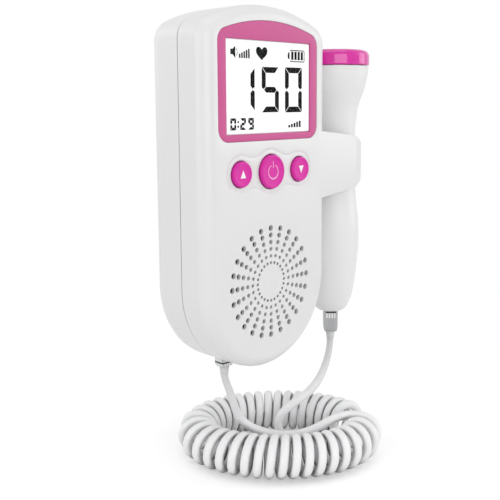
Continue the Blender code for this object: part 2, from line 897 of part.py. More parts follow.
def make_board():
    """Main board, its chip and its four screws."""
    outline = rounded_rectangle(
        -board_half_width, board_half_width, board_bottom, board_top, board_corner_radius
    )
    board = plate("main_board", outline, board_front_y, board_back_y)
    for side in (-1, 1):
        for x, level, tag in (
            (board_upper_post_x, board_upper_post_z, "high"),
            (board_lower_post_x, board_lower_post_z, "low"),
        ):
            tag = "%s_%s" % ("left" if side < 0 else "right", tag)
            way = rod(
                "board_way_" + tag, side * x, level, board_screw_radius + clearance,
                board_front_y - overrun, board_back_y + overrun, sides=8, guide=True,
            )
            cut(board, way)
            make_screw(
                "board_screw_" + tag, side * x, level, board_back_y + clearance, board_screw_radius,
                board_screw_head_radius, board_screw_head, board_screw_length,
            )
    paint(board, (0.02, 0.20, 0.08), 0.45)
    half = chip_width / 2
    chip_back_y = board_front_y - clearance
    chip = box(
        "signal_chip", (-half, chip_back_y - chip_thickness, chip_level - half),
        (half, chip_back_y, chip_level + half),
    )
    paint(chip, (0.03, 0.03, 0.03), 0.5)


def make_screw(name, x, z, seat, radius, head_radius, head, length):
    """A pan-head screw along Y whose head sits on seat and points to the back."""
    mesh_profile = [
        (0, length), (radius, length), (radius, 0), (head_radius, 0),
        (head_radius, -head * screw_side_share), (head_radius * screw_top_share, -head), (0, -head),
    ]
    screw = turned(name, mesh_profile, steps=12, location=(x, seat, z), along_y=True)
    return paint(screw, (0.55, 0.55, 0.56), 0.3, 1.0)


def make_case_screws():
    """Four screws that hold the covers together."""
    for side in (-1, 1):
        for level in (case_post_lower_z, case_post_upper_z):
            tag = "%s_%s" % ("left" if side < 0 else "right", "low" if level < button_level else "high")
            make_screw(
                "case_screw_" + tag, side * case_post_x, level, -case_head_depth + clearance,
                case_screw_radius, case_screw_head_radius, case_screw_head, case_screw_length,
            )


def make_cells():
    """Two cells, their contact plates and the door over them."""
    for side, name in ((-1, "cell_left"), (1, "cell_right")):
        low = bay_bottom + 2 * clearance + contact_thickness
        edge = cell_edge_radius
        profile = [
            (0, cell_length + cell_nub_height), (cell_nub_radius, cell_length + cell_nub_height),
            (cell_nub_radius, cell_length), (cell_radius - edge, cell_length),
            (cell_radius, cell_length - edge), (cell_radius, edge), (cell_radius - edge, 0), (0, 0),
        ]
        cell = turned(name, profile, steps=24, location=(side * cell_x, cell_y, low))
        if side < 0:
            cell.rotation_euler = (math.radians(180), 0, 0)
            cell.location = (side * cell_x, cell_y, low + cell_length + cell_nub_height)
        paint(cell, (0.12, 0.13, 0.15), 0.35, 0.5)
    contact_low = cell_y - contact_height / 2
    contact_high = cell_y + contact_height / 2
    bridge_z = bay_top - clearance - contact_thickness
    bridge = box(
        "contact_bridge", (-cell_x - contact_half_width, contact_low, bridge_z),
        (cell_x + contact_half_width, contact_high, bridge_z + contact_thickness),
    )
    paint(bridge, (0.75, 0.73, 0.68), 0.25, 1.0)
    for side, name in ((-1, "contact_plus"), (1, "contact_minus")):
        contact = box(
            name, (side * cell_x - contact_half_width, contact_low, bay_bottom + clearance),
            (side * cell_x + contact_half_width, contact_high, bay_bottom + clearance + contact_thickness),
        )
        paint(contact, (0.75, 0.73, 0.68), 0.25, 1.0)


def make_door():
    """Cell door: it tilts out about its round lower edge."""
    half = door_thickness / 2
    door = plate("battery_door", door_outline(door_bottom + half), -door_thickness, 0)
    edge_mesh = bpy.data.meshes.new("door_edge")
    shape = bmesh.new()
    place = Matrix.Translation((0, -half, door_bottom + half))
    bmesh.ops.create_cone(
        shape, cap_ends=True, segments=16, radius1=half, radius2=half, depth=2 * door_half_width,
        matrix=place @ Matrix.Rotation(math.radians(90), 4, "Y"),
    )
    shape.to_mesh(edge_mesh)
    shape.free()
    join(door, add_object("door_edge", edge_mesh, guide=True))
    grip_z = door_top - door_grip_radius
    grip = rod(
        "door_grip", 0, grip_z, door_grip_radius / 2, -door_grip_depth, overrun, sides=20, guide=True,
    )
    cut(door, grip)
    set_origin(door, (0, -half, door_bottom + half))
    paint(door, (0.80, 0.80, 0.80), 0.35)


def make_socket():
    """Socket in the casing that takes the unit plug."""
    wall = unit_socket_wall
    left = unit_plug_x - plug_width / 2 - clearance
    right = unit_plug_x + plug_width / 2 + clearance
    front = -unit_plug_inset - plug_depth / 2 - clearance
    back = -unit_plug_inset + plug_depth / 2 + clearance
    roof = unit_plug_bottom + unit_plug_length + clearance
    socket = box(
        "unit_socket", (left - wall, front - wall, unit_socket_bottom + clearance),
        (right + wall, back + wall, roof + socket_roof),
    )
    hollow = box(
        "unit_socket_hollow", (left, front, unit_socket_bottom - overrun), (right, back, roof), guide=True,
    )
    cut(socket, hollow)
    paint(socket, (0.05, 0.05, 0.05), 0.45)
    plug = box(
        "unit_plug", (-plug_width / 2, -plug_depth / 2, 0),
        (plug_width / 2, plug_depth / 2, unit_plug_length),
        location=(unit_plug_x, -unit_plug_inset, unit_plug_bottom), edge=plug_edge_radius,
    )
    paint(plug, (0.62, 0.63, 0.64), 0.25, alpha=0.6)


def probe_profile():
    """Radius and height down the probe's outside, from the joint with the cap."""
    head = probe_head_radius - clearance
    cone_drop = probe_joint - neck_top
    swell = probe_bulge_radius - neck_radius
    tail = probe_bulge_radius - probe_end_radius
    body_drop = neck_bottom - probe_bottom
    cone_shares = [(0, 1), (0.18, 0.94), (0.30, 0.83), (0.44, 0.70), (0.62, 0.40), (0.80, 0.14), (1, 0)]
    bulge_shares = [(0, 0), (0.09, 0.28), (0.24, 0.92), (0.34, 1.0), (0.44, 0.97)]
    tail_shares = [(0.56, 0.92), (0.74, 0.76), (0.875, 0.56), (0.95, 0.34), (0.985, 0.15), (1, 0)]
    shoulder = probe_joint - clearance
    points = [
        (neck_radius + w * (head - neck_radius), shoulder - s * (cone_drop - clearance))
        for s, w in cone_shares
    ]
    points += [(neck_radius + w * swell, neck_bottom - s * body_drop) for s, w in bulge_shares]
    points += [(probe_end_radius + w * tail, neck_bottom - s * body_drop) for s, w in tail_shares]
    return points


def make_probe():
    """The probe's housing, cap, transducer, board, socket and plug, all on its axis."""
    outside = probe_profile()
    inside = [
        (r - probe_wall, z) for r, z in outside
        if z > probe_bottom + probe_wall * 2 and r > probe_end_radius + probe_wall
    ]
    floor = probe_bottom + probe_wall
    base = (probe_x, probe_y, 0)
    profile = [(0, floor), (inside[-1][0] - probe_wall, floor)] + inside[::-1]
    profile += outside + [(0, probe_bottom)]
    housing = turned("probe_housing", profile, location=base)
    plug_way = box(
        "probe_plug_way",
        (-plug_width / 2 - clearance, -plug_depth / 2 - clearance, probe_bottom - overrun),
        (plug_width / 2 + clearance, plug_depth / 2 + clearance, floor + overrun),
        guide=True, location=base, turn_degrees=probe_plug_degrees,
    )
    cut(housing, plug_way)
    paint(housing, (0.82, 0.82, 0.82), 0.35)

    edge = cap_edge_radius
    spigot = probe_head_radius - probe_wall - 3 * clearance
    crown = [
        (probe_head_radius - edge + edge * math.sin(math.radians(a)),
         probe_top - edge + edge * math.cos(math.radians(a)))
        for a in (0, 30, 60, 90)
    ]
    bore = spigot - cap_wall
    low = probe_joint - cap_spigot_length
    cap_profile = [(0, probe_top)] + crown + [
        (probe_head_radius, probe_joint), (spigot, probe_joint), (spigot, low), (bore, low),
        (bore, probe_top - cap_wall), (0, probe_top - cap_wall),
    ]
    cap = turned("probe_cap", cap_profile, steps=28, location=base)
    paint(cap, (0.78, 0.03, 0.42), 0.2)

    disc_top = probe_top - cap_wall - clearance
    disc_radius = bore - disc_recess
    disc = turned(
        "transducer_disc",
        [(0, disc_top), (disc_radius, disc_top), (disc_radius, disc_top - disc_thickness),
         (0, disc_top - disc_thickness)],
        steps=24, location=base,
    )
    paint(disc, (0.80, 0.74, 0.55), 0.35, 0.7)
    backing_top = disc_top - disc_thickness - clearance
    backing = turned(
        "transducer_backing",
        [(0, backing_top), (bore - backing_recess, backing_top),
         (bore - backing_recess, backing_top - backing_thickness), (0, backing_top - backing_thickness)],
        steps=24, location=base,
    )
    paint(backing, (0.12, 0.12, 0.13), 0.8)
    half = neck_radius - probe_wall - probe_board_margin
    board = box(
        "probe_board", (-half, -probe_board_thickness / 2, probe_board_bottom),
        (half, probe_board_thickness / 2, backing_top - backing_thickness - clearance),
        location=base, turn_degrees=probe_plug_degrees,
    )
    paint(board, (0.02, 0.20, 0.08), 0.45)

    roof = probe_plug_bottom + probe_plug_length + clearance
    wall = socket_wall
    socket = box(
        "probe_socket",
        (-plug_width / 2 - clearance - wall, -plug_depth / 2 - clearance - wall, probe_socket_bottom),
        (plug_width / 2 + clearance + wall, plug_depth / 2 + clearance + wall, probe_socket_top),
        location=base, turn_degrees=probe_plug_degrees,
    )
    hollow = box(
        "probe_socket_hollow",
        (-plug_width / 2 - clearance, -plug_depth / 2 - clearance, probe_socket_bottom - overrun),
        (plug_width / 2 + clearance, plug_depth / 2 + clearance, roof),
        guide=True, location=base, turn_degrees=probe_plug_degrees,
    )
    cut(socket, hollow)
    paint(socket, (0.05, 0.05, 0.05), 0.45)
    plug = box(
        "probe_plug", (-plug_width / 2, -plug_depth / 2, probe_plug_bottom),
        (plug_width / 2, plug_depth / 2, probe_plug_bottom + probe_plug_length),
        location=base, turn_degrees=probe_plug_degrees, edge=plug_edge_radius,
    )
    paint(plug, (0.62, 0.63, 0.64), 0.25, alpha=0.6)


def ring_axes():
    """Unit vectors across the ring, along its depth and up."""
    turn = math.radians(ring_degrees)
    across = np.array([math.cos(turn), math.sin(turn), 0.0])
    deep = np.array([-math.sin(turn), math.cos(turn), 0.0])
    return across, deep, np.array([0.0, 0.0, 1.0])


def ring_frame(angle):
    """Centre line point, outward normal, arc speed and radius of curvature of the oval ring."""
    across, deep, _ = ring_axes()
    middle = np.array([ring_x, ring_y, ring_z])
    point = middle + ring_half_width * math.cos(angle) * across + ring_half_depth * math.sin(angle) * deep
    normal = ring_half_depth * math.cos(angle) * across + ring_half_width * math.sin(angle) * deep
    normal = normal / np.linalg.norm(normal)
    speed = math.hypot(ring_half_width * math.sin(angle), ring_half_depth * math.cos(angle))
    curvature_radius = speed ** 3 / (ring_half_width * ring_half_depth)
    return point, normal, speed, curvature_radius


def coil_points():
    """Centre line of the curls: a helix whose pitch opens where the ring bends tightly.

    pitch = (cord + gap) / (1 - helix radius / bend radius), so the inner gaps stay even.
    """
    start, stop = math.radians(ring_start_degrees), math.radians(ring_end_degrees)
    count = 4000
    angles = np.linspace(start, stop, count)
    rate = []
    for angle in angles:
        _, _, speed, bend = ring_frame(angle)
        pitch = (cord_diameter + curl_gap) / (1 - helix_radius / bend)
        rate.append(speed / pitch)
    step = abs(stop - start) / (count - 1)
    turns = np.concatenate([[0], np.cumsum((np.array(rate[1:]) + np.array(rate[:-1])) / 2 * step)])
    whole = math.floor(turns[-1] - 0.5) + 0.5
    turns = turns * whole / turns[-1]
    points = []
    for k in range(int(whole * points_per_curl) + 1):
        share = k / points_per_curl
        angle = float(np.interp(share, turns, angles))
        point, normal, _, _ = ring_frame(angle)
        phase = math.pi / 2 - 2 * math.pi * share
        points.append(point + helix_radius * (math.cos(phase) * normal + math.sin(phase) * ring_axes()[2]))
    first = points[0] - ring_frame(start)[1] * cord_diameter
    last = points[-1] - ring_frame(stop)[1] * cord_diameter
    return [first] + points + [last], whole


def least_gap(points):
    """Least distance between the tube's surfaces more than half a curl apart, in metres."""
    line = np.array(points)
    dense = np.concatenate([line[:-1] + (line[1:] - line[:-1]) * s for s in (0, 0.25, 0.5, 0.75)])
    order = np.concatenate([np.arange(len(line) - 1) + s for s in (0, 0.25, 0.5, 0.75)])
    gap = 1.0
    for k in range(len(dense)):
        far = np.abs(order - order[k]) > points_per_curl / 2
        if far.any():
            gap = min(gap, float(np.linalg.norm(dense[far] - dense[k], axis=1).min()))
    return gap - cord_diameter


def smooth_route(route):
    """Natural cubic spline through the route's points, read at an even spacing."""
    knots = np.array(route, dtype=float)
    lengths = np.linalg.norm(np.diff(knots, axis=0), axis=1)
    place = np.concatenate([[0], np.cumsum(lengths)])
    count = len(knots)
    system = np.zeros((count, count))
    right = np.zeros((count, 3))
    system[0, 0] = system[-1, -1] = 1
    for k in range(1, count - 1):
        system[k, k - 1] = lengths[k - 1]
        system[k, k] = 2 * (lengths[k - 1] + lengths[k])
        system[k, k + 1] = lengths[k]
        slope = (knots[k + 1] - knots[k]) / lengths[k] - (knots[k] - knots[k - 1]) / lengths[k - 1]
        right[k] = 6 * slope
    bend = np.linalg.solve(system, right)
    samples = []
    total = max(4, round(place[-1] / lead_point_spacing))
    for s in np.linspace(0, place[-1], total + 1):
        k = min(int(np.searchsorted(place, s, side="right")) - 1, count - 2)
        k = max(k, 0)
        h = lengths[k]
        a, b = (place[k + 1] - s) / h, (s - place[k]) / h
        samples.append(
            a * knots[k] + b * knots[k + 1]
            + ((a ** 3 - a) * bend[k] + (b ** 3 - b) * bend[k + 1]) * h * h / 6
        )
    return samples


def tube(name, points, resolution):
    """A round tube along straight runs between points, with filled ends."""
    curve = bpy.data.curves.new(name, "CURVE")
    curve.dimensions = "3D"
    spline = curve.splines.new("POLY")
    spline.points.add(len(points) - 1)
    for knot, point in zip(spline.points, points):
        knot.co = (*point, 1)
    curve.bevel_depth = cord_diameter / 2
    curve.bevel_resolution = resolution
    curve.use_fill_caps = True
    return add_object(name, curve)


def make_cord():
    """The two straight leads and the ring of curls between them."""
    curls, count = coil_points()
    coil = tube("cord_coil", curls, 1)
    paint(coil, (0.82, 0.82, 0.83), 0.4)
    start_in = np.array(curls[1]) - np.array(curls[0])
    start_in = start_in / np.linalg.norm(start_in)
    stop_in = np.array(curls[-2]) - np.array(curls[-1])
    stop_in = stop_in / np.linalg.norm(stop_in)
    unit_end = curls[0] - start_in * clearance
    probe_end = curls[-1] - stop_in * clearance
    drop = np.array([0.0, 0.0, cord_diameter])
    unit_start = np.array([unit_plug_x, -unit_plug_inset, unit_plug_bottom - clearance])
    probe_start = np.array([probe_x, probe_y, probe_plug_bottom - clearance])
    unit_meet = unit_end - start_in * cord_diameter
    probe_meet = probe_end - stop_in * cord_diameter
    unit_points = smooth_route([unit_start - drop] + unit_lead_route + [unit_meet])
    probe_points = smooth_route([probe_start - drop] + probe_lead_route + [probe_meet])
    unit_points = [unit_start] + unit_points + [unit_end]
    probe_points = [probe_start] + probe_points + [probe_end]
    paint(tube("cord_lead_unit", unit_points, 2), (0.82, 0.82, 0.83), 0.4)
    paint(tube("cord_lead_probe", probe_points, 2), (0.82, 0.82, 0.83), 0.4)
    wound = float(np.linalg.norm(np.diff(np.array(curls), axis=0), axis=1).sum())
    print("curls %.1f, wound length %.3f m" % (count, wound))
    print("least gap between curls %.5f m" % least_gap(curls))
    for name, points in (("unit lead", unit_points), ("probe lead", probe_points)):
        length = float(np.linalg.norm(np.diff(np.array(points), axis=0), axis=1).sum())
        apart = min(float(np.linalg.norm(np.array(curls[4:-4]) - p, axis=1).min()) for p in points[:-1])
        print("%s length %.4f m, clear of the curls by %.4f m" % (name, length, apart - cord_diameter))


def main():
    """Build every piece."""
    clear_scene()
    make_front_cover()
    make_back_cover()
    make_display()
    make_buttons()
    make_speaker()
    make_board()
    make_case_screws()
    make_cells()
    make_door()
    make_socket()
    make_probe()
    make_cord()


main()
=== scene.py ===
"""Studio scene of a handheld heartbeat monitor: casing, display, buttons, clipped probe and curly cord.

Metres, in the part's own frame: +Z up, -Y out of the face, +X to the viewer's right on the face.
"""

import logging
import math
from dataclasses import dataclass, field
from enum import Enum
from functools import cache
from typing import Optional, Sequence

import bmesh
import bpy
import numpy as np
from mathutils import Matrix, Vector
from mathutils.geometry import delaunay_2d_cdt


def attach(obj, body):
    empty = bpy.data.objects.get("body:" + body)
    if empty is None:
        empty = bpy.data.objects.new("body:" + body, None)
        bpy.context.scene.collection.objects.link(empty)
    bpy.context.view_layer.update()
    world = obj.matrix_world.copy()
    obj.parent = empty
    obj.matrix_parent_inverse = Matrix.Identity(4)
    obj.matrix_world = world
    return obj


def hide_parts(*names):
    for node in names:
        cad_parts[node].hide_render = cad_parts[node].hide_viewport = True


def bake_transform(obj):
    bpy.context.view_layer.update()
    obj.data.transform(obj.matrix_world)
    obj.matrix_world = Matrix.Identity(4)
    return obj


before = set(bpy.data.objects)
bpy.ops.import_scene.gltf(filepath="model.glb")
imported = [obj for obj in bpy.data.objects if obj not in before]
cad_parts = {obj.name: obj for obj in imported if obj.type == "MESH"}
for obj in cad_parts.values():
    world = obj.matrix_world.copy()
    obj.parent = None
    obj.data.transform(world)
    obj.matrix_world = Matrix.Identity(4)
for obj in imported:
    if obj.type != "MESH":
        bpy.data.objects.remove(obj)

Array = np.ndarray
Colour = tuple[float, float, float]
Point = tuple[float, float, float]
Run = tuple[Array, Array]
Rows = list[tuple[float, float]]
Item = bpy.types.Object
Outputs = bpy.types.NodeOutputs
Socket = bpy.types.NodeSocket
Tree = bpy.types.NodeTree
log = logging.getLogger("heartbeat_monitor")


class Body(Enum):
    """The moving bodies that a piece can ride on."""

    MONITOR = "monitor"
    UP = "up_button"
    POWER = "power_button"
    DOWN = "down_button"
    DOOR = "door"
    PROBE = "probe"


class Side(Enum):
    """Left and right of the middle plane, as a viewer of the face sees them."""

    LEFT = -1
    RIGHT = 1


class Segment(Enum):
    """The seven bars of one display digit."""

    TOP = "a"
    UPPER_RIGHT = "b"
    LOWER_RIGHT = "c"
    BOTTOM = "d"
    LOWER_LEFT = "e"
    UPPER_LEFT = "f"
    MIDDLE = "g"


# ---- shapes


def full_turn(count: int) -> Array:
    """Even angles round a whole turn, in radians."""
    return np.linspace(0, 2 * math.pi, count, endpoint=False)


def directions(angles: Array) -> Array:
    """Unit vectors (cos a, sin a), along a last axis of two."""
    return np.stack([np.cos(angles), np.sin(angles)], axis=-1)


def unit(vectors: Array) -> Array:
    """Vectors along the last axis, brought to length one."""
    return vectors / np.linalg.norm(vectors, axis=-1, keepdims=True)


def run_along(line: Array) -> Array:
    """Length from the first point of a line to each of its points."""
    return np.concatenate([[0], np.cumsum(np.linalg.norm(np.diff(line, axis=0), axis=1))])


def at_depth(flat: Array, depth: float | Array) -> Array:
    """Points in X and Z, along a last axis of two, placed in space at their Y."""
    return np.stack([flat[..., 0], np.broadcast_to(depth, flat.shape[:-1]), flat[..., 1]], axis=-1)


def set_at(place: Point, degrees: float) -> Matrix:
    """Placing matrix: a turn about +Z, then a move."""
    return Matrix.Translation(place) @ Matrix.Rotation(math.radians(degrees), 4, "Z")


def arc_run(x: float, z: float, radius: float, start: float, stop: float, steps: int) -> Run:
    """Points on a circle and their outward normals.

    Args:
        x: Centre across.
        z: Centre up.
        radius: Radius of the circle.
        start: First angle in degrees, anticlockwise.
        stop: Last angle.
        steps: Steps between them.

    Returns:
        Points and normals, both (steps + 1, 2).
    """
    normals = directions(np.radians(np.linspace(start, stop, steps + 1)))
    return np.array([x, z]) + radius * normals, normals


def line_run(start: Sequence[float], end: Sequence[float], count: int) -> Run:
    """Evenly spaced points on a line and the normal to the right of its travel.

    Args:
        start: First point, across and up.
        end: Last point.
        count: Number of steps.

    Returns:
        Points and normals, both (count + 1, 2).
    """
    first, last = np.array(start, float), np.array(end, float)
    points = first + np.linspace(0, 1, count + 1)[:, None] * (last - first)
    way = unit(last - first)
    return points, np.tile([way[1], -way[0]], (count + 1, 1))


@dataclass(frozen=True)
class Outline:
    """A closed anticlockwise line in X and Z with its outward normals."""

    points: Array
    normals: Array

    @classmethod
    def joined(cls, *runs: Run) -> "Outline":
        """Runs laid end to end; each run's last point is the next one's first."""
        return cls(
            np.concatenate([points[:-1] for points, _ in runs]),
            np.concatenate([normals[:-1] for _, normals in runs]),
        )

    @classmethod
    def circle(cls, x: float, z: float, radius: float, count: int) -> "Outline":
        """A circle of count points."""
        return cls.joined(arc_run(x, z, radius, 0, 360, count))

    @classmethod
    def rounded(
        cls, left: float, right: float, bottom: float, top: float, radius: float, steps: int, sides: int = 1,
        foot: Optional[float] = None, foot_steps: int = 2,
    ) -> "Outline":
        """A rectangle with round corners.

        Args:
            left: Lowest X.
            right: Highest X.
            bottom: Lowest Z.
            top: Highest Z.
            radius: Corner radius.
            steps: Steps in each corner.
            sides: Steps along each side.
            foot: Radius of the lower corners where it differs.
            foot_steps: Steps in each lower corner then.

        Returns:
            The outline.
        """
        low, count = (radius, steps) if foot is None else (foot, foot_steps)
        return cls.joined(
            arc_run(left + low, bottom + low, low, 180, 270, count),
            line_run((left + low, bottom), (right - low, bottom), sides),
            arc_run(right - low, bottom + low, low, 270, 360, count),
            line_run((right, bottom + low), (right, top - radius), sides),
            arc_run(right - radius, top - radius, radius, 0, 90, steps),
            line_run((right - radius, top), (left + radius, top), sides),
            arc_run(left + radius, top - radius, radius, 90, 180, steps),
            line_run((left, top - radius), (left, bottom + low), sides),
        )

    @classmethod
    def through(cls, points: Array) -> "Outline":
        """A closed line through points, with normals square to the chord between neighbours."""
        way = unit(np.roll(points, -1, axis=0) - np.roll(points, 1, axis=0))
        return cls(points, np.stack([way[:, 1], -way[:, 0]], axis=1))

    def inset(self, amount: float | Array) -> Array:
        """The line moved inward along its normals."""
        return self.points - np.reshape(amount, (-1, 1)) * self.normals

    def loft(self, rows: Rows) -> Array:
        """Carry the outline through rows of inset and depth.

        The surface is P(row, column) = point - inset(row) * normal, at depth y(row).

        Args:
            rows: Pairs of inset and Y.

        Returns:
            Grid of points, (rows, columns, 3).
        """
        inset, depth = np.array(rows).T
        return at_depth(self.points - inset[:, None, None] * self.normals, depth[:, None])


def domed(
    half_width: float, top: float, top_radius: float, corner_radius: float,
    bottom: Sequence[Run], side_start: float, side_steps: int = 30,
) -> Outline:
    """Straight sides under a shallow arc with round corners, over a given bottom.

    The corner's centre lies where the arc, drawn in by the corner's radius, meets the line that
    is the corner's radius inside the straight side.

    Args:
        half_width: Half the width.
        top: Level of the arc's middle.
        top_radius: Radius of the arc.
        corner_radius: Radius of the two upper corners.
        bottom: Runs of the bottom, from left to right.
        side_start: Level at which the straight sides begin.
        side_steps: Steps along each side.

    Returns:
        The outline.
    """
    centre_z = top - top_radius
    corner_x = half_width - corner_radius
    corner_z = centre_z + math.sqrt((top_radius - corner_radius) ** 2 - corner_x ** 2)
    tilt = math.degrees(math.atan2(corner_z - centre_z, corner_x))
    return Outline.joined(
        *bottom,
        line_run((half_width, side_start), (half_width, corner_z), side_steps),
        arc_run(corner_x, corner_z, corner_radius, 0, tilt, 12),
        arc_run(0, centre_z, top_radius, tilt, 180 - tilt, 40),
        arc_run(-corner_x, corner_z, corner_radius, 180 - tilt, 180, 12),
        line_run((-half_width, corner_z), (-half_width, side_start), side_steps),
    )


def edge_rows(radius: float, level: float, towards: float, steps: int) -> Rows:
    """Rows of a round edge, from the flat at a depth to the upright side.

    inset = radius * (1 - sin a) and depth = level + towards * radius * (1 - cos a), a from 0 to 90.

    Args:
        radius: Radius of the edge.
        level: Depth of the flat.
        towards: +1 where the side runs to the back, -1 to the front.
        steps: Steps in the quarter circle.

    Returns:
        Rows of inset and depth.
    """
    turn = np.linspace(0, math.pi / 2, steps + 1)
    inset = radius * (1 - np.sin(turn))
    depth = level + towards * radius * (1 - np.cos(turn))
    return list(zip(inset.tolist(), depth.tolist()))


def natural_spline(knots: Array, count: int) -> Array:
    """Natural cubic spline through knots, by chord length, read at an even spacing.

    Args:
        knots: Points to pass, (n, dimensions).
        count: Number of points to return.

    Returns:
        Points on the spline, (count, dimensions).
    """
    place, size = run_along(knots), len(knots)
    runs = np.diff(place)
    system = np.eye(size)
    inner = np.arange(1, size - 1)
    system[inner, inner - 1] = runs[:-1]
    system[inner, inner] = 2 * (runs[:-1] + runs[1:])
    system[inner, inner + 1] = runs[1:]
    slopes = np.diff(knots, axis=0) / runs[:, None]
    right = np.zeros_like(knots)
    right[1:-1] = 6 * np.diff(slopes, axis=0)
    bend = np.linalg.solve(system, right)
    s = np.linspace(0, place[-1], count)
    k = np.clip(np.searchsorted(place, s, side="right") - 1, 0, size - 2)
    h = runs[k][:, None]
    a = (place[k + 1] - s)[:, None] / h
    b = 1 - a
    swell = (a ** 3 - a) * bend[k] + (b ** 3 - b) * bend[k + 1]
    return a * knots[k] + b * knots[k + 1] + swell * h ** 2 / 6


def turned(profile: Array, steps: int, centre: Point, along_y: bool = False) -> Array:
    """Turn a profile of radius and height about an axis.

    P(row, a) = centre + radius * (cos a, sin a) across the axis + height along it. The axis is +Z,
    or -Y out of the face.

    Args:
        profile: Radius and height, (n, 2).
        steps: Steps round the axis.
        centre: Where the height is zero.
        along_y: True for the axis out of the face.

    Returns:
        Grid of points, (n, steps, 3), closed across its columns.
    """
    across, other = np.moveaxis(profile[:, :1, None] * directions(full_turn(steps)), -1, 0)
    height = np.broadcast_to(profile[:, 1:], across.shape)
    grid = np.stack([across, -height, other] if along_y else [across, other, height], axis=-1)
    return grid + np.array(centre)


def smooth_step(value: Array, low: float, high: float) -> Array:
    """0 below low, 1 above high and an even S between them."""
    share = np.clip((value - low) / (high - low), 0, 1)
    return share * share * (3 - 2 * share)


def inside(loop: Array, points: Array) -> Array:
    """Which points lie in a loop: a ray to the right crosses it an odd number of times.

    Args:
        loop: Corners in order, (n, 2).
        points: Points to test, (m, 2).

    Returns:
        Mask, (m,).
    """
    start, end = loop[None], np.roll(loop, -1, axis=0)[None]
    x, z = points[:, :1], points[:, 1:]
    spans = (start[..., 1] > z) != (end[..., 1] > z)
    rise = np.where(spans, end[..., 1] - start[..., 1], 1.0)
    at = start[..., 0] + (z - start[..., 1]) * (end[..., 0] - start[..., 0]) / rise
    return (spans & (at > x)).sum(axis=1) % 2 == 1


class Draft:
    """Gathers surfaces and turns them into one mesh object."""

    def __init__(self) -> None:
        """Start with nothing."""
        self.points: list[Array] = []
        self.faces: list[Array] = []
        self.count = 0

    def add(self, points: Array, faces: Array) -> "Draft":
        """Add points, (n, 3), and faces that number them from zero."""
        self.points.append(points)
        self.faces.append(faces + self.count)
        self.count += len(points)
        return self

    def grid(self, points: Array, keep: Optional[Array] = None) -> "Draft":
        """Add a grid of points as quads; its last column is joined to its first.

        Args:
            points: (rows, columns, 3), or a batch of such grids in front.
            keep: Mask of the quads to make, (rows - 1, columns).

        Returns:
            The draft itself.
        """
        rows, columns = points.shape[-3:-1]
        index = np.arange(points.size // 3).reshape(-1, rows, columns)
        index = np.concatenate([index, index[..., :1]], axis=2)
        corners = [index[:, :-1, :-1], index[:, :-1, 1:], index[:, 1:, 1:], index[:, 1:, :-1]]
        quads = np.stack(corners, axis=-1)
        if keep is not None:
            quads = quads[:, keep]
        return self.add(points.reshape(-1, 3), quads.reshape(-1, 4))

    def sheet(self, depth: float, outer: Array, *holes: Array) -> "Draft":
        """Fill a flat region at a depth between an outer loop and any holes.

        Args:
            depth: Y of the sheet.
            outer: The outer loop in X and Z, (n, 2).
            holes: Loops inside it.

        Returns:
            The draft itself.
        """
        loops = [outer, *holes]
        starts = np.cumsum([0] + [len(loop) for loop in loops])
        edges = np.concatenate([
            np.stack([np.arange(len(loop)), np.roll(np.arange(len(loop)), -1)], axis=1) + start
            for loop, start in zip(loops, starts)
        ])
        flat = [Vector(p) for p in np.concatenate(loops).tolist()]
        found, _, triangles, *_ = delaunay_2d_cdt(flat, edges.tolist(), [], 1, 1e-9)
        across, faces = np.array([tuple(p) for p in found]), np.array(triangles)
        middles = across[faces].mean(axis=1)
        crossed = sum(inside(loop, middles).astype(int) for loop in loops)
        return self.add(at_depth(across, depth), faces[crossed == 1])

    def capped(self, outline: Outline, rows: Rows) -> "Draft":
        """A closed body: an outline carried through rows of inset and depth, filled at both ends."""
        self.grid(outline.loft(rows))
        for inset, depth in (rows[0], rows[-1]):
            self.sheet(depth, outline.inset(inset))
        return self

    def prisms(self, loops: Sequence[Array], front: float, back: float) -> "Draft":
        """Closed plates with straight sides, each drawn from one loop in X and Z."""
        for loop in loops:
            self.capped(Outline(loop, np.zeros_like(loop)), [(0, front), (0, back)])
        return self

    def moved(self, matrix: Matrix) -> "Draft":
        """Apply a placing matrix to every point."""
        place = np.array(matrix)
        self.points = [points @ place[:3, :3].T + place[:3, 3] for points in self.points]
        return self

    def build(self, name: str, crease: float = 35, along: Optional[Array] = None) -> Item:
        """Make one mesh object of everything gathered, with its normals outward.

        Args:
            name: Name of the object.
            crease: Edges sharper than this many degrees stay crisp.
            along: A value for each point, kept as the attribute "along".

        Returns:
            The object, at the origin.
        """
        mesh = bpy.data.meshes.new(name)
        faces = [face for batch in self.faces for face in batch.tolist()]
        mesh.from_pydata(np.concatenate(self.points).tolist(), [], faces)
        if along is not None:
            mesh.attributes.new("along", "FLOAT", "POINT").data.foreach_set("value", along.astype(np.float32))
        shape = bmesh.new()
        shape.from_mesh(mesh)
        bmesh.ops.remove_doubles(shape, verts=shape.verts, dist=2e-6)
        bmesh.ops.dissolve_degenerate(shape, edges=shape.edges, dist=1e-7)
        bmesh.ops.recalc_face_normals(shape, faces=shape.faces)
        shape.to_mesh(mesh)
        shape.free()
        mesh.shade_smooth()
        mesh.set_sharp_from_angle(angle=math.radians(crease))
        item = bpy.data.objects.new(name, mesh)
        bpy.context.scene.collection.objects.link(item)
        return item


def dress(
    item: Item, finish: "Finish", replaced: Sequence[str] = (), body: Optional[Body] = Body.MONITOR,
) -> None:
    """Give a piece its finish, hide the nodes it stands for and attach it to the body it rides on.

    Args:
        item: The piece.
        finish: What it is made of.
        replaced: CAD nodes it stands for.
        body: The body that it moves with; None for a piece that bends between two.
    """
    item.data.materials.append(finish.material())
    if body is not None:
        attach(item, body.value)
    if replaced:
        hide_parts(*replaced)
    log.info("%s: %d faces in %s", item.name, len(item.data.polygons), finish.name)


# ---- effects and finishes


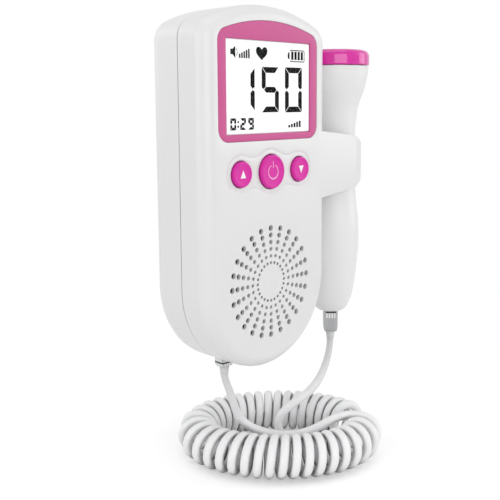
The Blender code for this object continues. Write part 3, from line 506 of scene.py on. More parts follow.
def screen(red: int, green: int, blue: int) -> Colour:
    """A colour as a screen shows it, 0 to 255, turned into the shader's own scale."""
    share = np.array([red, green, blue]) / 255
    linear = np.where(share <= 0.04045, share / 12.92, ((share + 0.055) / 1.055) ** 2.4)
    return tuple(linear.tolist())


class Wiring:
    """Adds nodes to one node tree and links them."""

    def __init__(self, tree: Tree) -> None:
        """Work on the given tree."""
        self.tree = tree

    @classmethod
    def afresh(cls, owner: bpy.types.ID) -> "Wiring":
        """Start the nodes of a material or world from none."""
        owner.use_nodes = True
        owner.node_tree.nodes.clear()
        return cls(owner.node_tree)

    def node(self, kind: str, inputs: Optional[dict] = None, **settings: object) -> bpy.types.Node:
        """Add a node.

        Args:
            kind: Blender's name of the node type.
            inputs: Values or sockets for its inputs, by name or number.
            settings: Properties of the node.

        Returns:
            The node.
        """
        made = self.tree.nodes.new(kind)
        for key, value in settings.items():
            setattr(made, key, value)
        for key, value in (inputs or {}).items():
            self.feed(made.inputs[key], value)
        return made

    def feed(self, socket: Socket, value: object) -> None:
        """Set an input's value, or link a socket to it."""
        if isinstance(value, Socket):
            self.tree.links.new(value, socket)
        else:
            socket.default_value = value

    def group(self, tree: Tree, **inputs: object) -> Outputs:
        """Place a node group with its values and return its outputs."""
        made = self.node("ShaderNodeGroup", node_tree=tree)
        for label, value in inputs.items():
            self.feed(made.inputs[label], value)
        return made.outputs

    def math(self, operation: str, *values: object) -> Socket:
        """One step of arithmetic on numbers or sockets."""
        return self.node("ShaderNodeMath", dict(enumerate(values)), operation=operation).outputs[0]

    def mix(self, share: object, first: object, second: object) -> Socket:
        """Mix two colours."""
        return self.node("ShaderNodeMix", {0: share, 6: first, 7: second}, data_type="RGBA").outputs[2]

    def span(self, value: object, low: float, high: float, start: object = 0.0, stop: object = 1.0) -> Socket:
        """Map a value from low..high to start..stop and hold it there."""
        return self.node("ShaderNodeMapRange", {0: value, 1: low, 2: high, 3: start, 4: stop}).outputs[0]

    def bump(self, height: Socket, depth: float) -> Socket:
        """Turn a height from 0 to 1 into a normal, with the relief's depth in metres."""
        return self.node("ShaderNodeBump", {"Height": height, "Distance": depth}).outputs[0]

    def noise(self, place: Socket, scale: object, detail: float, distortion: float = 0.0) -> Socket:
        """A cloudy noise from 0 to 1 over a place."""
        inputs = {"Vector": place, "Scale": scale, "Detail": detail, "Distortion": distortion}
        return self.node("ShaderNodeTexNoise", inputs).outputs["Fac"]

    def cells(self, place: Socket, scale: object, randomness: float = 1.0, feature: str = "F1") -> Socket:
        """Distances in a pattern of cells over a place."""
        inputs = {"Vector": place, "Scale": scale, "Randomness": randomness}
        return self.node("ShaderNodeTexVoronoi", inputs, feature=feature).outputs["Distance"]

    def swing(self, value: Socket, width: object, middle: object) -> Socket:
        """Swing about a middle: (value - 1/2) * width + middle."""
        return self.math("MULTIPLY_ADD", self.math("SUBTRACT", value, 0.5), width, middle)


class GroupWiring(Wiring):
    """A shader node group with named inputs and outputs."""

    KINDS = {"Vector": "Vector", "Stretch": "Vector", "Colour": "Color", "Dust": "Color"}

    def __init__(self, name: str, inputs: str, outputs: str) -> None:
        """Make the group's tree; a label that KINDS doesn't hold is a number's.

        Args:
            name: Name of the group.
            inputs: Labels of its inputs, in one line.
            outputs: Labels of its outputs.
        """
        super().__init__(bpy.data.node_groups.new(name, "ShaderNodeTree"))
        for labels, way in ((inputs, "INPUT"), (outputs, "OUTPUT")):
            for label in labels.split():
                kind = "NodeSocket" + self.KINDS.get(label, "Float")
                self.tree.interface.new_socket(label, in_out=way, socket_type=kind)
        self.given = self.tree.nodes.new("NodeGroupInput").outputs
        self.wanted = self.tree.nodes.new("NodeGroupOutput").inputs

    def give(self, **outputs: Socket) -> Tree:
        """Connect the outputs and return the finished tree."""
        for label, socket in outputs.items():
            self.tree.links.new(socket, self.wanted[label])
        return self.tree


@cache
def soft_mottle() -> Tree:
    """Slow changes of tone, and smudges from handling that change the roughness."""
    w = GroupWiring("soft_mottle", "Vector Colour Roughness Scale Tone Smudge", "Colour Roughness")
    g = w.given
    swing = w.swing(w.noise(g["Vector"], g["Scale"], 4.0), g["Tone"], 0.0)
    gain = w.math("MULTIPLY_ADD", swing, 2.0, 1.0)
    tint = w.node("ShaderNodeVectorMath", {0: g["Colour"], 1: gain}, operation="MULTIPLY")
    smear = w.noise(g["Vector"], w.math("MULTIPLY", g["Scale"], 0.4), 2.0, 0.8)
    return w.give(Colour=tint.outputs[0], Roughness=w.swing(smear, g["Smudge"], g["Roughness"]))


@cache
def mould_grain() -> Tree:
    """The fine spark-eroded grain of a mould, as a height from 0 to 1."""
    w = GroupWiring("mould_grain", "Vector Scale", "Height")
    g = w.given
    fine = w.noise(g["Vector"], g["Scale"], 2.0)
    cells = w.cells(g["Vector"], w.math("MULTIPLY", g["Scale"], 0.6), feature="SMOOTH_F1")
    return w.give(Height=w.math("ADD", fine, w.math("MULTIPLY", cells, 0.5)))


@cache
def crease_shade() -> Tree:
    """Painted shade: darkens the narrow grooves between pieces, found by ambient occlusion, towards a darker
    colour.
    """
    w = GroupWiring("crease_shade", "Colour Dust Reach Amount", "Colour")
    g = w.given
    shut = w.node("ShaderNodeAmbientOcclusion", {"Distance": g["Reach"]}, samples=4)
    # painted shade: the more occluded, the closer to the shade colour
    share = w.math("MULTIPLY", w.span(shut.outputs["AO"], 0.75, 0.15), g["Amount"])
    return w.give(Colour=w.mix(share, g["Colour"], g["Dust"]))


@cache
def drawn_lines() -> Tree:
    """Fine lines of drawn or brushed metal, stretched along one direction of the vector."""
    w = GroupWiring("drawn_lines", "Vector Stretch Roughness", "Height Roughness")
    g = w.given
    pulled = w.node("ShaderNodeVectorMath", {0: g["Vector"], 1: g["Stretch"]}, operation="MULTIPLY")
    lines = w.noise(pulled.outputs[0], 1.0, 3.0)
    return w.give(Height=lines, Roughness=w.swing(lines, 0.35, g["Roughness"]))


@cache
def plain_weave() -> Tree:
    """Over and under threads in the X-Z plane: |sin| of one way against the other, a thread apart."""
    w = GroupWiring("plain_weave", "Vector Pitch", "Height")
    g = w.given
    axes = w.node("ShaderNodeSeparateXYZ", {0: g["Vector"]}).outputs
    turn = w.math("DIVIDE", math.pi, g["Pitch"])
    warp = w.math("SINE", w.math("MULTIPLY", axes["X"], turn))
    weft = w.math("SINE", w.math("MULTIPLY", axes["Z"], turn))
    over = w.math("MULTIPLY", warp, weft)
    return w.give(Height=w.math("MULTIPLY_ADD", over, 0.5, 0.5))


@dataclass(frozen=True)
class Finish:
    """What every finish shares: a name, a colour, a roughness and the record's slot, if not the name."""

    name: str
    colour: Colour
    roughness: float = 0.4
    slot: str = ""

    @cache
    def material(self) -> bpy.types.Material:
        """The finish's material, made once."""
        made = bpy.data.materials.new(self.name + "_finish")
        w = Wiring.afresh(made)
        shader = w.node("ShaderNodeBsdfPrincipled", {
            "Base Color": self.shade(), "Roughness": self.roughness, **self.constants(),
        })
        w.node("ShaderNodeOutputMaterial", {"Surface": shader.outputs[0]})
        place = w.node("ShaderNodeTexCoord").outputs["Object"]
        for label, socket in self.varied(w, place).items():
            made.node_tree.links.new(socket, shader.inputs[label])
        return made

    def constants(self) -> dict:
        """Values that are the same all over the surface."""
        return {}

    def varied(self, w: Wiring, place: Socket) -> dict:
        """Sockets that change over the surface, by the shader's input name."""
        return {}

    def shade(self, gain: float = 1.0) -> tuple[float, ...]:
        """The colour times a gain, no more than 1, and opaque."""
        return (*(min(1.0, gain * share) for share in self.colour), 1.0)

    def mottled(
        self, w: Wiring, place: Socket, scale: float, tone: float, smudge: float, colour: object = None,
    ) -> Outputs:
        """Place the soft mottle on a colour, which is the finish's own if none is given."""
        return w.group(
            soft_mottle(), Vector=place, Colour=self.shade() if colour is None else colour,
            Roughness=self.roughness, Scale=scale, Tone=tone, Smudge=smudge,
        )


@dataclass(frozen=True)
class MouldedPlastic(Finish):
    """Injection-moulded plastic with fine grain, a faint mottle and painted shade in its creases."""

    tone: float = 0.012
    smudge: float = 0.08
    scale: float = 60.0
    grain: float = 1800.0
    relief: float = 0.000004
    coat: float = 0.0
    specular: float = 0.5
    # strength of the painted shade in creases
    crease: float = 0.0
    glow: float = 0.0

    def constants(self) -> dict:
        """Gloss, coat and any light of its own."""
        made = {"Specular IOR Level": self.specular, "Coat Weight": self.coat, "Coat Roughness": 0.08}
        if self.glow:
            made |= {"Emission Color": self.shade(), "Emission Strength": self.glow}
        return made

    def varied(self, w: Wiring, place: Socket) -> dict:
        """Mottled colour and roughness over a grained surface, with painted shade in the creases."""
        mottle = self.mottled(w, place, self.scale, self.tone, self.smudge)
        tint = mottle["Colour"]
        # painted shade: the creases darken towards a third of the colour
        if self.crease:
            crease_shade_colour = self.shade(0.3)
            tint = w.group(crease_shade(), Colour=tint, Dust=crease_shade_colour, Reach=0.0012, Amount=self.crease)["Colour"]
        height = w.group(mould_grain(), Vector=place, Scale=self.grain)["Height"]
        return {"Base Color": tint, "Roughness": mottle["Roughness"], "Normal": w.bump(height, self.relief)}


@dataclass(frozen=True)
class ClearPlastic(Finish):
    """Clear moulded plastic, either see-through by alpha or by transmission."""

    alpha: float = 1.0
    transmission: float = 0.0
    specular: float = 0.5

    def constants(self) -> dict:
        """How much light passes, and the gloss."""
        return {
            "Alpha": self.alpha, "Transmission Weight": self.transmission, "IOR": 1.49,
            "Specular IOR Level": self.specular,
        }

    def varied(self, w: Wiring, place: Socket) -> dict:
        """Slight flow marks in tone and gloss."""
        mottle = self.mottled(w, place, 220.0, 0.03, 0.06)
        return {"Base Color": mottle["Colour"], "Roughness": mottle["Roughness"]}


@dataclass(frozen=True)
class DrawnMetal(Finish):
    """Bare or plated metal with fine drawn lines."""

    stretch: Point = (9000.0, 9000.0, 400.0)
    metallic: float = 1.0

    def constants(self) -> dict:
        """A plain metal."""
        return {"Metallic": self.metallic}

    def varied(self, w: Wiring, place: Socket) -> dict:
        """Lines in the roughness and the normal over a mottled tone."""
        mottle = self.mottled(w, place, 300.0, 0.05, 0.0)
        lines = w.group(drawn_lines(), Vector=place, Stretch=self.stretch, Roughness=self.roughness)
        return {
            "Base Color": mottle["Colour"], "Roughness": lines["Roughness"],
            "Normal": w.bump(lines["Height"], 0.000003),
        }


@dataclass(frozen=True)
class CordSkin(Finish):
    """Extruded cord skin: long faint waves of thickness along it, a painted shadow by its plugs and painted
    shade between its curls.
    """

    ripple: float = 0.00002
    wave: float = 0.0021
    # darkness and reach of the painted shadow near the plugs
    plug_shadow: float = 0.70
    plug_shadow_reach: float = 0.032

    def constants(self) -> dict:
        """A soft sheen over the gloss."""
        return {"Specular IOR Level": 0.45, "Sheen Weight": 0.06, "Sheen Roughness": 0.5}

    def varied(self, w: Wiring, place: Socket) -> dict:
        """Waves read from the length from the plug, a painted shadow near the plug and painted shade in the
        gaps, over a fine grain.
        """
        along = w.node("ShaderNodeAttribute", attribute_name="along").outputs["Fac"]
        # painted shadow: darker for the first few centimetres from each plug
        past_plug_shadow = w.span(along, 0.004, self.plug_shadow_reach)
        skin = w.mix(past_plug_shadow, self.shade(self.plug_shadow), self.shade())
        mottle = self.mottled(w, place, 90.0, 0.02, 0.12, skin)
        wave = w.math("SINE", w.math("MULTIPLY", along, 2 * math.pi / self.wave))
        grain = w.group(mould_grain(), Vector=place, Scale=1500.0)["Height"]
        height = w.math("MULTIPLY_ADD", wave, 0.25, grain)
        # painted shade in the gaps between the curls
        tint = w.group(
            crease_shade(), Colour=mottle["Colour"], Dust=self.shade(0.12), Reach=0.0060, Amount=1.0,
        )["Colour"]
        return {
            "Base Color": tint, "Roughness": mottle["Roughness"],
            "Normal": w.bump(height, self.ripple),
        }


@dataclass(frozen=True)
class WovenCloth(Finish):
    """Black acoustic cloth in a plain weave."""

    pitch: float = 0.00045

    def varied(self, w: Wiring, place: Socket) -> dict:
        """Threads painted lighter where they rise: a painted highlight on the weave."""
        weave = w.group(plain_weave(), Vector=place, Pitch=self.pitch)["Height"]
        tint = w.mix(weave, self.shade(), self.shade(2.2))
        return {"Base Color": tint, "Normal": w.bump(weave, 0.00006)}


@dataclass(frozen=True)
class FoamRubber(Finish):
    """Open-celled foam or filled rubber with round pores."""

    pore: float = 1400.0

    def varied(self, w: Wiring, place: Socket) -> dict:
        """Pores that dent the surface, painted darker inside as painted shade."""
        cells = w.cells(place, self.pore)
        tint = w.mix(cells, self.shade(), self.shade(1.8))
        return {"Base Color": tint, "Normal": w.bump(cells, 0.00008)}


@dataclass(frozen=True)
class CircuitBoard(Finish):
    """Green solder mask over copper tracks, with tinned pads on a grid."""

    track: Colour = (0.05, 0.34, 0.13)
    pad: Colour = (0.72, 0.68, 0.58)

    def varied(self, w: Wiring, place: Socket) -> dict:
        """Tracks between straight-sided cells, pads at a coarser pitch, and their relief."""
        tracks = w.math("LESS_THAN", w.cells(place, 420.0, feature="DISTANCE_TO_EDGE"), 0.07)
        pads = w.math("LESS_THAN", w.cells(place, 250.0, 0.15), 0.16)
        mask = w.mix(tracks, self.shade(), (*self.track, 1.0))
        rough = w.math("MULTIPLY_ADD", pads, -0.12, self.roughness)
        return {
            "Base Color": w.mix(pads, mask, (*self.pad, 1.0)), "Metallic": pads, "Roughness": rough,
            "Normal": w.bump(w.math("MAXIMUM", tracks, pads), 0.00003),
        }


@dataclass(frozen=True)
class CellWrap(Finish):
    """A shrink-wrapped cell: a dark sleeve with a pale band, between bare metal ends."""

    band: Colour = (0.52, 0.55, 0.58)
    metal: Colour = (0.74, 0.73, 0.71)
    low: float = 0.0
    high: float = 1.0
    flipped: bool = False

    def varied(self, w: Wiring, place: Socket) -> dict:
        """Bands across the cell's length, chosen by height."""
        height = w.node("ShaderNodeSeparateXYZ", {0: place}).outputs["Z"]
        share = w.span(height, self.low, self.high, *((1.0, 0.0) if self.flipped else (0.0, 1.0)))
        band = w.math("GREATER_THAN", share, 0.72)
        ends = w.math("MAXIMUM", w.math("GREATER_THAN", share, 0.972), w.math("LESS_THAN", share, 0.012))
        mottle = self.mottled(w, place, 120.0, 0.04, 0.1, w.mix(band, self.shade(), (*self.band, 1.0)))
        return {
            "Base Color": w.mix(ends, mottle["Colour"], (*self.metal, 1.0)),
            "Metallic": w.math("MAXIMUM", ends, w.math("MULTIPLY", band, 0.35)),
            "Roughness": mottle["Roughness"],
        }


casing_white = MouldedPlastic("casing_white", screen(230, 230, 230), 0.31, smudge=0.05, crease=0.55)
# a lighter copy of casing_white for the probe: painted light on the probe's shaded side
probe_lit_white = MouldedPlastic(
    "probe_lit_white", screen(236, 236, 236), 0.34, "casing_white", smudge=0.05, crease=0.4, grain=1500.0,
    specular=0.45,
)
bezel_pink = MouldedPlastic("bezel_pink", screen(205, 92, 148), 0.36, crease=0.3, specular=0.22)
button_pink = MouldedPlastic("button_pink", screen(219, 42, 164), 0.4, crease=0.3, specular=0.3)
cap_magenta = MouldedPlastic("cap_magenta", screen(218, 8, 158), 0.13, coat=0.3, grain=900.0)
printed_white = MouldedPlastic("printed_white", screen(250, 246, 250), 0.5, "casing_white")
printed_pale = MouldedPlastic("printed_pale_pink", screen(246, 170, 218), 0.45, "casing_white")
display_ink = MouldedPlastic("display_ink", (0.004, 0.004, 0.004), 0.7, "black_plastic", specular=0.0)
display_grey = MouldedPlastic("display_grey_ink", screen(60, 62, 62), 0.7, "black_plastic", specular=0.0)
display_white = MouldedPlastic(
    "display_white", screen(250, 251, 250), 0.5, "display_face", glow=0.28, specular=0.2,
)
window_clear = ClearPlastic("window_clear", (0.20, 0.21, 0.21), 0.06, alpha=0.04, specular=0.12)
plug_clear = ClearPlastic("plug_clear", screen(203, 204, 206), 0.2, transmission=0.25)
black_plastic = MouldedPlastic("black_plastic", (0.03, 0.03, 0.032), 0.45, tone=0.2)
light_panel = MouldedPlastic("light_panel_milky", (0.86, 0.86, 0.83), 0.4)
screw_steel = DrawnMetal("screw_steel", (0.58, 0.58, 0.59), 0.3)
contact_nickel = DrawnMetal("contact_nickel", (0.76, 0.75, 0.73), 0.25, stretch=(400.0, 9000.0, 9000.0))
speaker_metal = DrawnMetal("speaker_metal", (0.20, 0.20, 0.21), 0.4, metallic=0.7)
cloth_black = WovenCloth("speaker_cloth_black", (0.05, 0.05, 0.05), 0.9)
foam_black = FoamRubber("foam_black", (0.05, 0.05, 0.05), 0.95)
backing_rubber = FoamRubber("backing_rubber", (0.09, 0.09, 0.10), 0.85, pore=900.0)
strip_rubber = FoamRubber("strip_rubber", (0.26, 0.14, 0.22), 0.8, pore=2500.0)
circuit_green = CircuitBoard("circuit_green", (0.02, 0.19, 0.08), 0.42)
ceramic = DrawnMetal("transducer_ceramic", (0.80, 0.74, 0.55), 0.38, metallic=0.6)
cord_white = CordSkin("cord_white_rubber", screen(246, 246, 247), 0.42, "cord_white")


# ---- shared layout


@dataclass(frozen=True)
class Layout:
    """Levels and depths that several sub-assemblies share."""

    half_width: float = 0.033
    top: float = 0.102
    face_y: float = -0.0295
    face_inner_y: float = -0.0271
    seam_y: float = -0.0162
    gap: float = 0.0003
    button_level: float = 0.041588
    probe_x: float = 0.0515
    probe_y: float = -0.0169
    unit_plug_x: float = -0.0060
    unit_plug_y: float = -0.0095
    unit_plug_bottom: float = -0.0360
    probe_bottom: float = -0.022712
    plug_width: float = 0.0062
    plug_depth: float = 0.0050
    plug_degrees: float = -45.5


LAYOUT = Layout()


# ---- camera and cord


@dataclass(frozen=True)
class StudioCamera:
    """The camera that matches the photograph's perspective."""

    place: Point = (-0.20961, -0.22404, 0.06666)
    yaw: float = 45.48
    pitch: float = 7.47
    roll: float = -0.44
    focal_pixels: float = 775.5
    shift_x: float = 0.0023
    shift_y: float = -0.09
    frame_pixels: int = 500

    def build(self) -> None:
        """Make the camera and set it as the scene's own."""
        turns = ((-self.yaw, "Z"), (90 - self.pitch, "X"), (self.roll, "Z"))
        look = [Matrix.Rotation(math.radians(angle), 4, axis) for angle, axis in turns]
        data = bpy.data.cameras.new("studio_camera")
        data.lens = self.focal_pixels * data.sensor_width / self.frame_pixels
        data.shift_x, data.shift_y = self.shift_x, self.shift_y
        data.clip_start = 0.01
        camera = bpy.data.objects.new("studio_camera", data)
        camera.matrix_world = Matrix.Translation(self.place) @ look[0] @ look[1] @ look[2]
        bpy.context.scene.collection.objects.link(camera)
        bpy.context.scene.camera = camera
        log.info("camera: lens %.2f mm", data.lens)


@dataclass
class CurlyCord:
    """The curly cord: a lead from the casing, a ring of curls on the floor and a lead to the probe."""

    layout: Layout = LAYOUT
    diameter: float = 0.0036
    lead_diameter: float = 0.0029
    helix_radius: float = 0.0067
    curl_gap: float = 0.00010
    ring_middle: Point = (0.0203, -0.0150, -0.0700)
    ring_half_width: float = 0.0340
    ring_half_depth: float = 0.0236
    ring_degrees: float = -45.5
    ring_stop_degrees: float = -335.0
    ring_samples: int = 4000
    steps_per_curl: int = 30
    lead_points: int = 161
    sides: int = 14
    taper: tuple[float, float] = (0.004, 0.030)
    plug_gap: float = 0.0003
    probe_plug_bottom: float = -0.032712
    bend_start: Point = (0.031, -0.0169, -0.0735)
    bend_end_z: float = -0.0340
    unit_route: tuple[Point, ...] = (
        (-0.0050, -0.0106, -0.0450), (-0.0030, -0.0116, -0.0520), (0.0000, -0.0118, -0.0585),
        (0.0039, -0.0133, -0.0630), (0.0086, -0.0160, -0.0660), (0.0155, -0.0201, -0.0685),
        (0.0205, -0.0236, -0.0688), (0.0282, -0.0287, -0.0668), (0.0352, -0.0319, -0.0642),
        (0.0388, -0.0340, -0.0633),
    )
    probe_route: tuple[Point, ...] = (
        (0.0492, -0.0180, -0.0415), (0.0450, -0.0190, -0.0472), (0.0400, -0.0187, -0.0530),
        (0.0340, -0.0161, -0.0583), (0.0285, -0.0119, -0.0632), (0.0252, -0.0098, -0.0690),
        (0.0258, -0.0120, -0.0745), (0.0310, -0.0170, -0.0766), (0.0385, -0.0222, -0.0769),
    )

    def ring(self, angles: Array) -> tuple[Array, Array, Array, Array]:
        """The oval that the curls run round.

        point = middle + a cos t * across + b sin t * deep; the normal is square to it, and its
        radius of curvature is speed cubed over a b.

        Args:
            angles: Angle t of each station, in radians.

        Returns:
            Points, outward normals, speed and radius of curvature.
        """
        turn = math.radians(self.ring_degrees)
        across = np.array([math.cos(turn), math.sin(turn), 0])
        deep = np.array([-math.sin(turn), math.cos(turn), 0])
        a, b = self.ring_half_width, self.ring_half_depth
        cos, sin = np.cos(angles)[:, None], np.sin(angles)[:, None]
        points = np.array(self.ring_middle) + a * cos * across + b * sin * deep
        normals = unit(b * cos * across + a * sin * deep)
        speed = np.hypot(a * sin, b * cos)[:, 0]
        return points, normals, speed, speed ** 3 / (a * b)

    def curls(self) -> Array:
        """Centre line of the curls: a helix whose pitch opens where the ring bends tightly.

        pitch = (diameter + gap) / (1 - helix radius / bend radius), so the inner gaps stay even.

        Returns:
            Points, (n, 3).
        """
        angles = np.linspace(0, math.radians(self.ring_stop_degrees), self.ring_samples)
        _, _, speed, bend = self.ring(angles)
        rate = speed * (1 - self.helix_radius / bend) / (self.diameter + self.curl_gap)
        step = abs(angles[1] - angles[0])
        turns = np.concatenate([[0], np.cumsum((rate[1:] + rate[:-1]) / 2 * step)])
        whole = math.floor(turns[-1] - 0.5) + 0.5
        share = np.arange(int(whole * self.steps_per_curl) + 1) / self.steps_per_curl
        points, normals, _, _ = self.ring(np.interp(share * turns[-1] / whole, turns, angles))
        phase = (math.pi / 2 - 2 * math.pi * share)[:, None]
        return points + self.helix_radius * (np.cos(phase) * normals + np.sin(phase) * np.array([0, 0, 1.0]))

    def lead(self, start: Point, route: Sequence[Point], ends: Array) -> Array:
        """A lead: straight down from its plug, along its route and into the first bit of the curls.

        The curls begin and end level, at their highest and lowest, so the lead comes in level too.

        Args:
            start: Where it leaves the plug.
            route: Points to pass.
            ends: Three points of the curls, the nearest first; the lead stops at the first.

        Returns:
            Centre line from the plug to the curls.
        """
        first = np.array(start)
        drop = first - [0, 0, self.diameter]
        into = ends[0] + unit(ends[0] - ends[1]) * self.diameter
        into[2] = ends[0, 2]
        knots = np.concatenate([[first, drop], np.array(route), [into], ends])
        line = natural_spline(knots, self.lead_points)
        stop = int(np.argmin(np.linalg.norm(line - ends[0], axis=1)))
        return np.concatenate([line[:stop], ends[:1]])

    def tube(self, name: str, line: Array, radius: Array, from_end: bool = False) -> Item:
        """A round tube along a line, closed at both ends.

        Each ring lies across the line. Its first direction starts square to the axis that the
        tangent follows least, and is turned by the running sum of the twists between neighbours,
        so that the rings follow each other without twisting.

        Args:
            name: Name of the piece.
            line: Centre line, (n, 3).
            radius: Radius at each station.
            from_end: True where the plug is at the line's end.

        Returns:
            The object, with its length from the plug kept as the attribute "along".
        """
        way = unit(np.gradient(line, axis=0))
        first = unit(np.cross(way, np.eye(3)[np.argmin(np.abs(way), axis=1)]))
        second = np.cross(way, first)
        twist = np.arctan2((first[:-1] * second[1:]).sum(axis=1), (first[:-1] * first[1:]).sum(axis=1))
        start = np.concatenate([[0], np.cumsum(twist)])[:, None, None]
        turn = start + full_turn(self.sides)[:, None]
        across = np.cos(turn) * first[:, None] + np.sin(turn) * second[:, None]
        rings = line[:, None] + radius[:, None, None] * across
        ends = [np.repeat(line[k:k + 1, None], self.sides, axis=1) for k in (0, len(line) - 1)]
        grid = np.concatenate([ends[0], rings, ends[1]])
        length = np.pad(run_along(line), 1, mode="edge")
        length = length[-1] - length if from_end else length
        return Draft().grid(grid).build(name, crease=60, along=np.repeat(length, self.sides))

    def lead_radius(self, line: Array) -> Array:
        """Radius down a lead: thin at its plug, full before it reaches the curls."""
        share = smooth_step(run_along(line), *self.taper)
        return (self.lead_diameter + (self.diameter - self.lead_diameter) * share) / 2

    def build(self, unit_plug: Item, probe_plug: Item) -> None:
        """Args:
            unit_plug: The plug in the casing, already made; not used.
            probe_plug: The plug in the probe, already made; not used.
        """
        lay = self.layout
        curls = self.curls()
        tip = self.steps_per_curl // 8
        unit_start = (lay.unit_plug_x, lay.unit_plug_y, lay.unit_plug_bottom - self.plug_gap)
        probe_start = (lay.probe_x, lay.probe_y, self.probe_plug_bottom - self.plug_gap)
        unit = self.lead(unit_start, self.unit_route, curls[[0, tip, 2 * tip]])
        probe = self.lead(probe_start, self.probe_route, curls[[-1, -1 - tip, -1 - 2 * tip]])
        line = np.concatenate([unit, curls[1:]])
        radius = np.concatenate([self.lead_radius(unit), np.full(len(curls) - 1, self.diameter / 2)])
        ring = self.tube("cord_curls", line, radius)
        dress(ring, cord_white, ["cord_coil", "cord_lead_unit"])
        back = probe[::-1]
        lead = self.tube("cord_probe_lead", back, self.lead_radius(probe)[::-1], from_end=True)
        dress(lead, cord_white, ["cord_lead_probe"], None)
        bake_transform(lead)


# ---- plugs


@dataclass
class ModularPlug:
    """A small clear plug with four contacts, black plates of painted shade for its slot or gap, and the cord
    in its heel.
    """

    name: str
    node: str
    body: Body
    centre: tuple[float, float]
    bottom: float
    length: float
    mouth: float
    degrees: float = 0.0
    # a black band round the plug as the painted shadow of a gap, instead of a slot plate
    shadow_band: bool = False
    width: float = LAYOUT.plug_width
    depth: float = LAYOUT.plug_depth
    corner: float = 0.0007
    contact_pitch: float = 0.00115
    contact_half: float = 0.00022
    slot_half: float = 0.0023
    collar_length: float = 0.0036
    collar_radius: float = 0.0018
    collar_end: float = 0.00152
    rib: float = 0.00012

    def outline(self) -> Outline:
        """The plug's own outline across its length."""
        half, deep = self.width / 2, self.depth / 2
        return Outline.rounded(-half, half, -deep, deep, self.corner, 4, 2)

    def placed(self, draft: Draft) -> Draft:
        """Move a draft made about the middle of the plug's lower end to where the plug is."""
        return draft.moved(set_at((*self.centre, self.bottom), self.degrees))

    def build(self) -> Item:
        """Make the clear shell, which narrows to its heel, and the pieces on it.

        Returns:
            The clear shell.
        """
        wide, top = self.width / 2, self.length
        rows = [(wide, 0.0), (0.0011, 0.0), (0.0007, 0.0001), (0.0004, 0.0004), (0.0002, 0.0009),
                (0.0, 0.0022), (0.0, 0.0026), (0.0, top - 0.0008), (0.0, top - 0.0003), (0.0003, top),
                (wide, top)]
        tower = self.outline().loft(rows)[..., [0, 2, 1]]
        tower[0], tower[-1] = [0, 0, 0], [0, 0, top]
        shell = self.placed(Draft().grid(tower)).build(self.name, crease=50)
        dress(shell, plug_clear, [self.node], self.body)
        self.front(self.mouth - self.bottom, -self.depth / 2)
        self.collar(self.mouth - self.bottom)
        return shell

    def front(self, mouth: float, face: float) -> None:
        """Four contacts, and a black plate of painted shade: the slot above them, or a shadow gap round the
        plug.

        Args:
            mouth: Height of the socket's mouth over the plug's lower end.
            face: Y of the plug's face.
        """
        low, half = mouth - min(0.0038, mouth - 0.0008), self.contact_half
        bars = Draft().prisms([
            Outline.rounded(x - half, x + half, low, mouth - 0.0016, 0.00008, 2).points
            for x in (self.contact_pitch * np.array([-1.5, -0.5, 0.5, 1.5])).tolist()
        ], face - 0.00002, face + 0.0003)
        dress(self.placed(bars).build(self.name + "_contacts"), contact_nickel, body=self.body)
        # painted shadow: a thin black band standing just proud of the shell all round
        if self.shadow_band:
            high = mouth - 0.0007
            rows = [(0.0003, high - 0.0006), (-0.00002, high - 0.0006), (-0.00002, high), (0.0003, high)]
            slot = Draft().grid(self.outline().loft(rows + rows[:1])[..., [0, 2, 1]])
        else:
            # painted shade: a black plate where the slot's shade falls
            high = mouth - 0.0008
            line = Outline.rounded(-self.slot_half, self.slot_half, high - 0.0008, high, 0.0002, 3)
            slot = Draft().prisms([line.points], face - 0.00003, face + 0.0004)
        dress(self.placed(slot).build(self.name + "_slots"), black_plastic, body=self.body)

    def collar(self, mouth: float) -> None:
        """The cord's end in the plug and its collar below, which tapers with three raised-cosine ribs."""
        drop = np.linspace(0, self.collar_length, 28)
        share = drop / self.collar_length
        taper = self.collar_radius - (self.collar_radius - self.collar_end) * share
        ribs = self.rib * (1 - np.cos(share * 6 * math.pi)) * smooth_step(-drop, -0.0034, -0.0028)
        top = [(0, mouth - 0.0038), (0.00125, mouth - 0.0040), (0.00125, 0.0002), (0.0016, 0.0001)]
        sleeve = np.concatenate([top, np.stack([taper + ribs, -drop], axis=1), [[0, -self.collar_length]]])
        core = self.placed(Draft().grid(turned(sleeve, 24, (0, 0, 0))))
        dress(core.build(self.name + "_cord_end"), cord_white, body=self.body)


# ---- casing


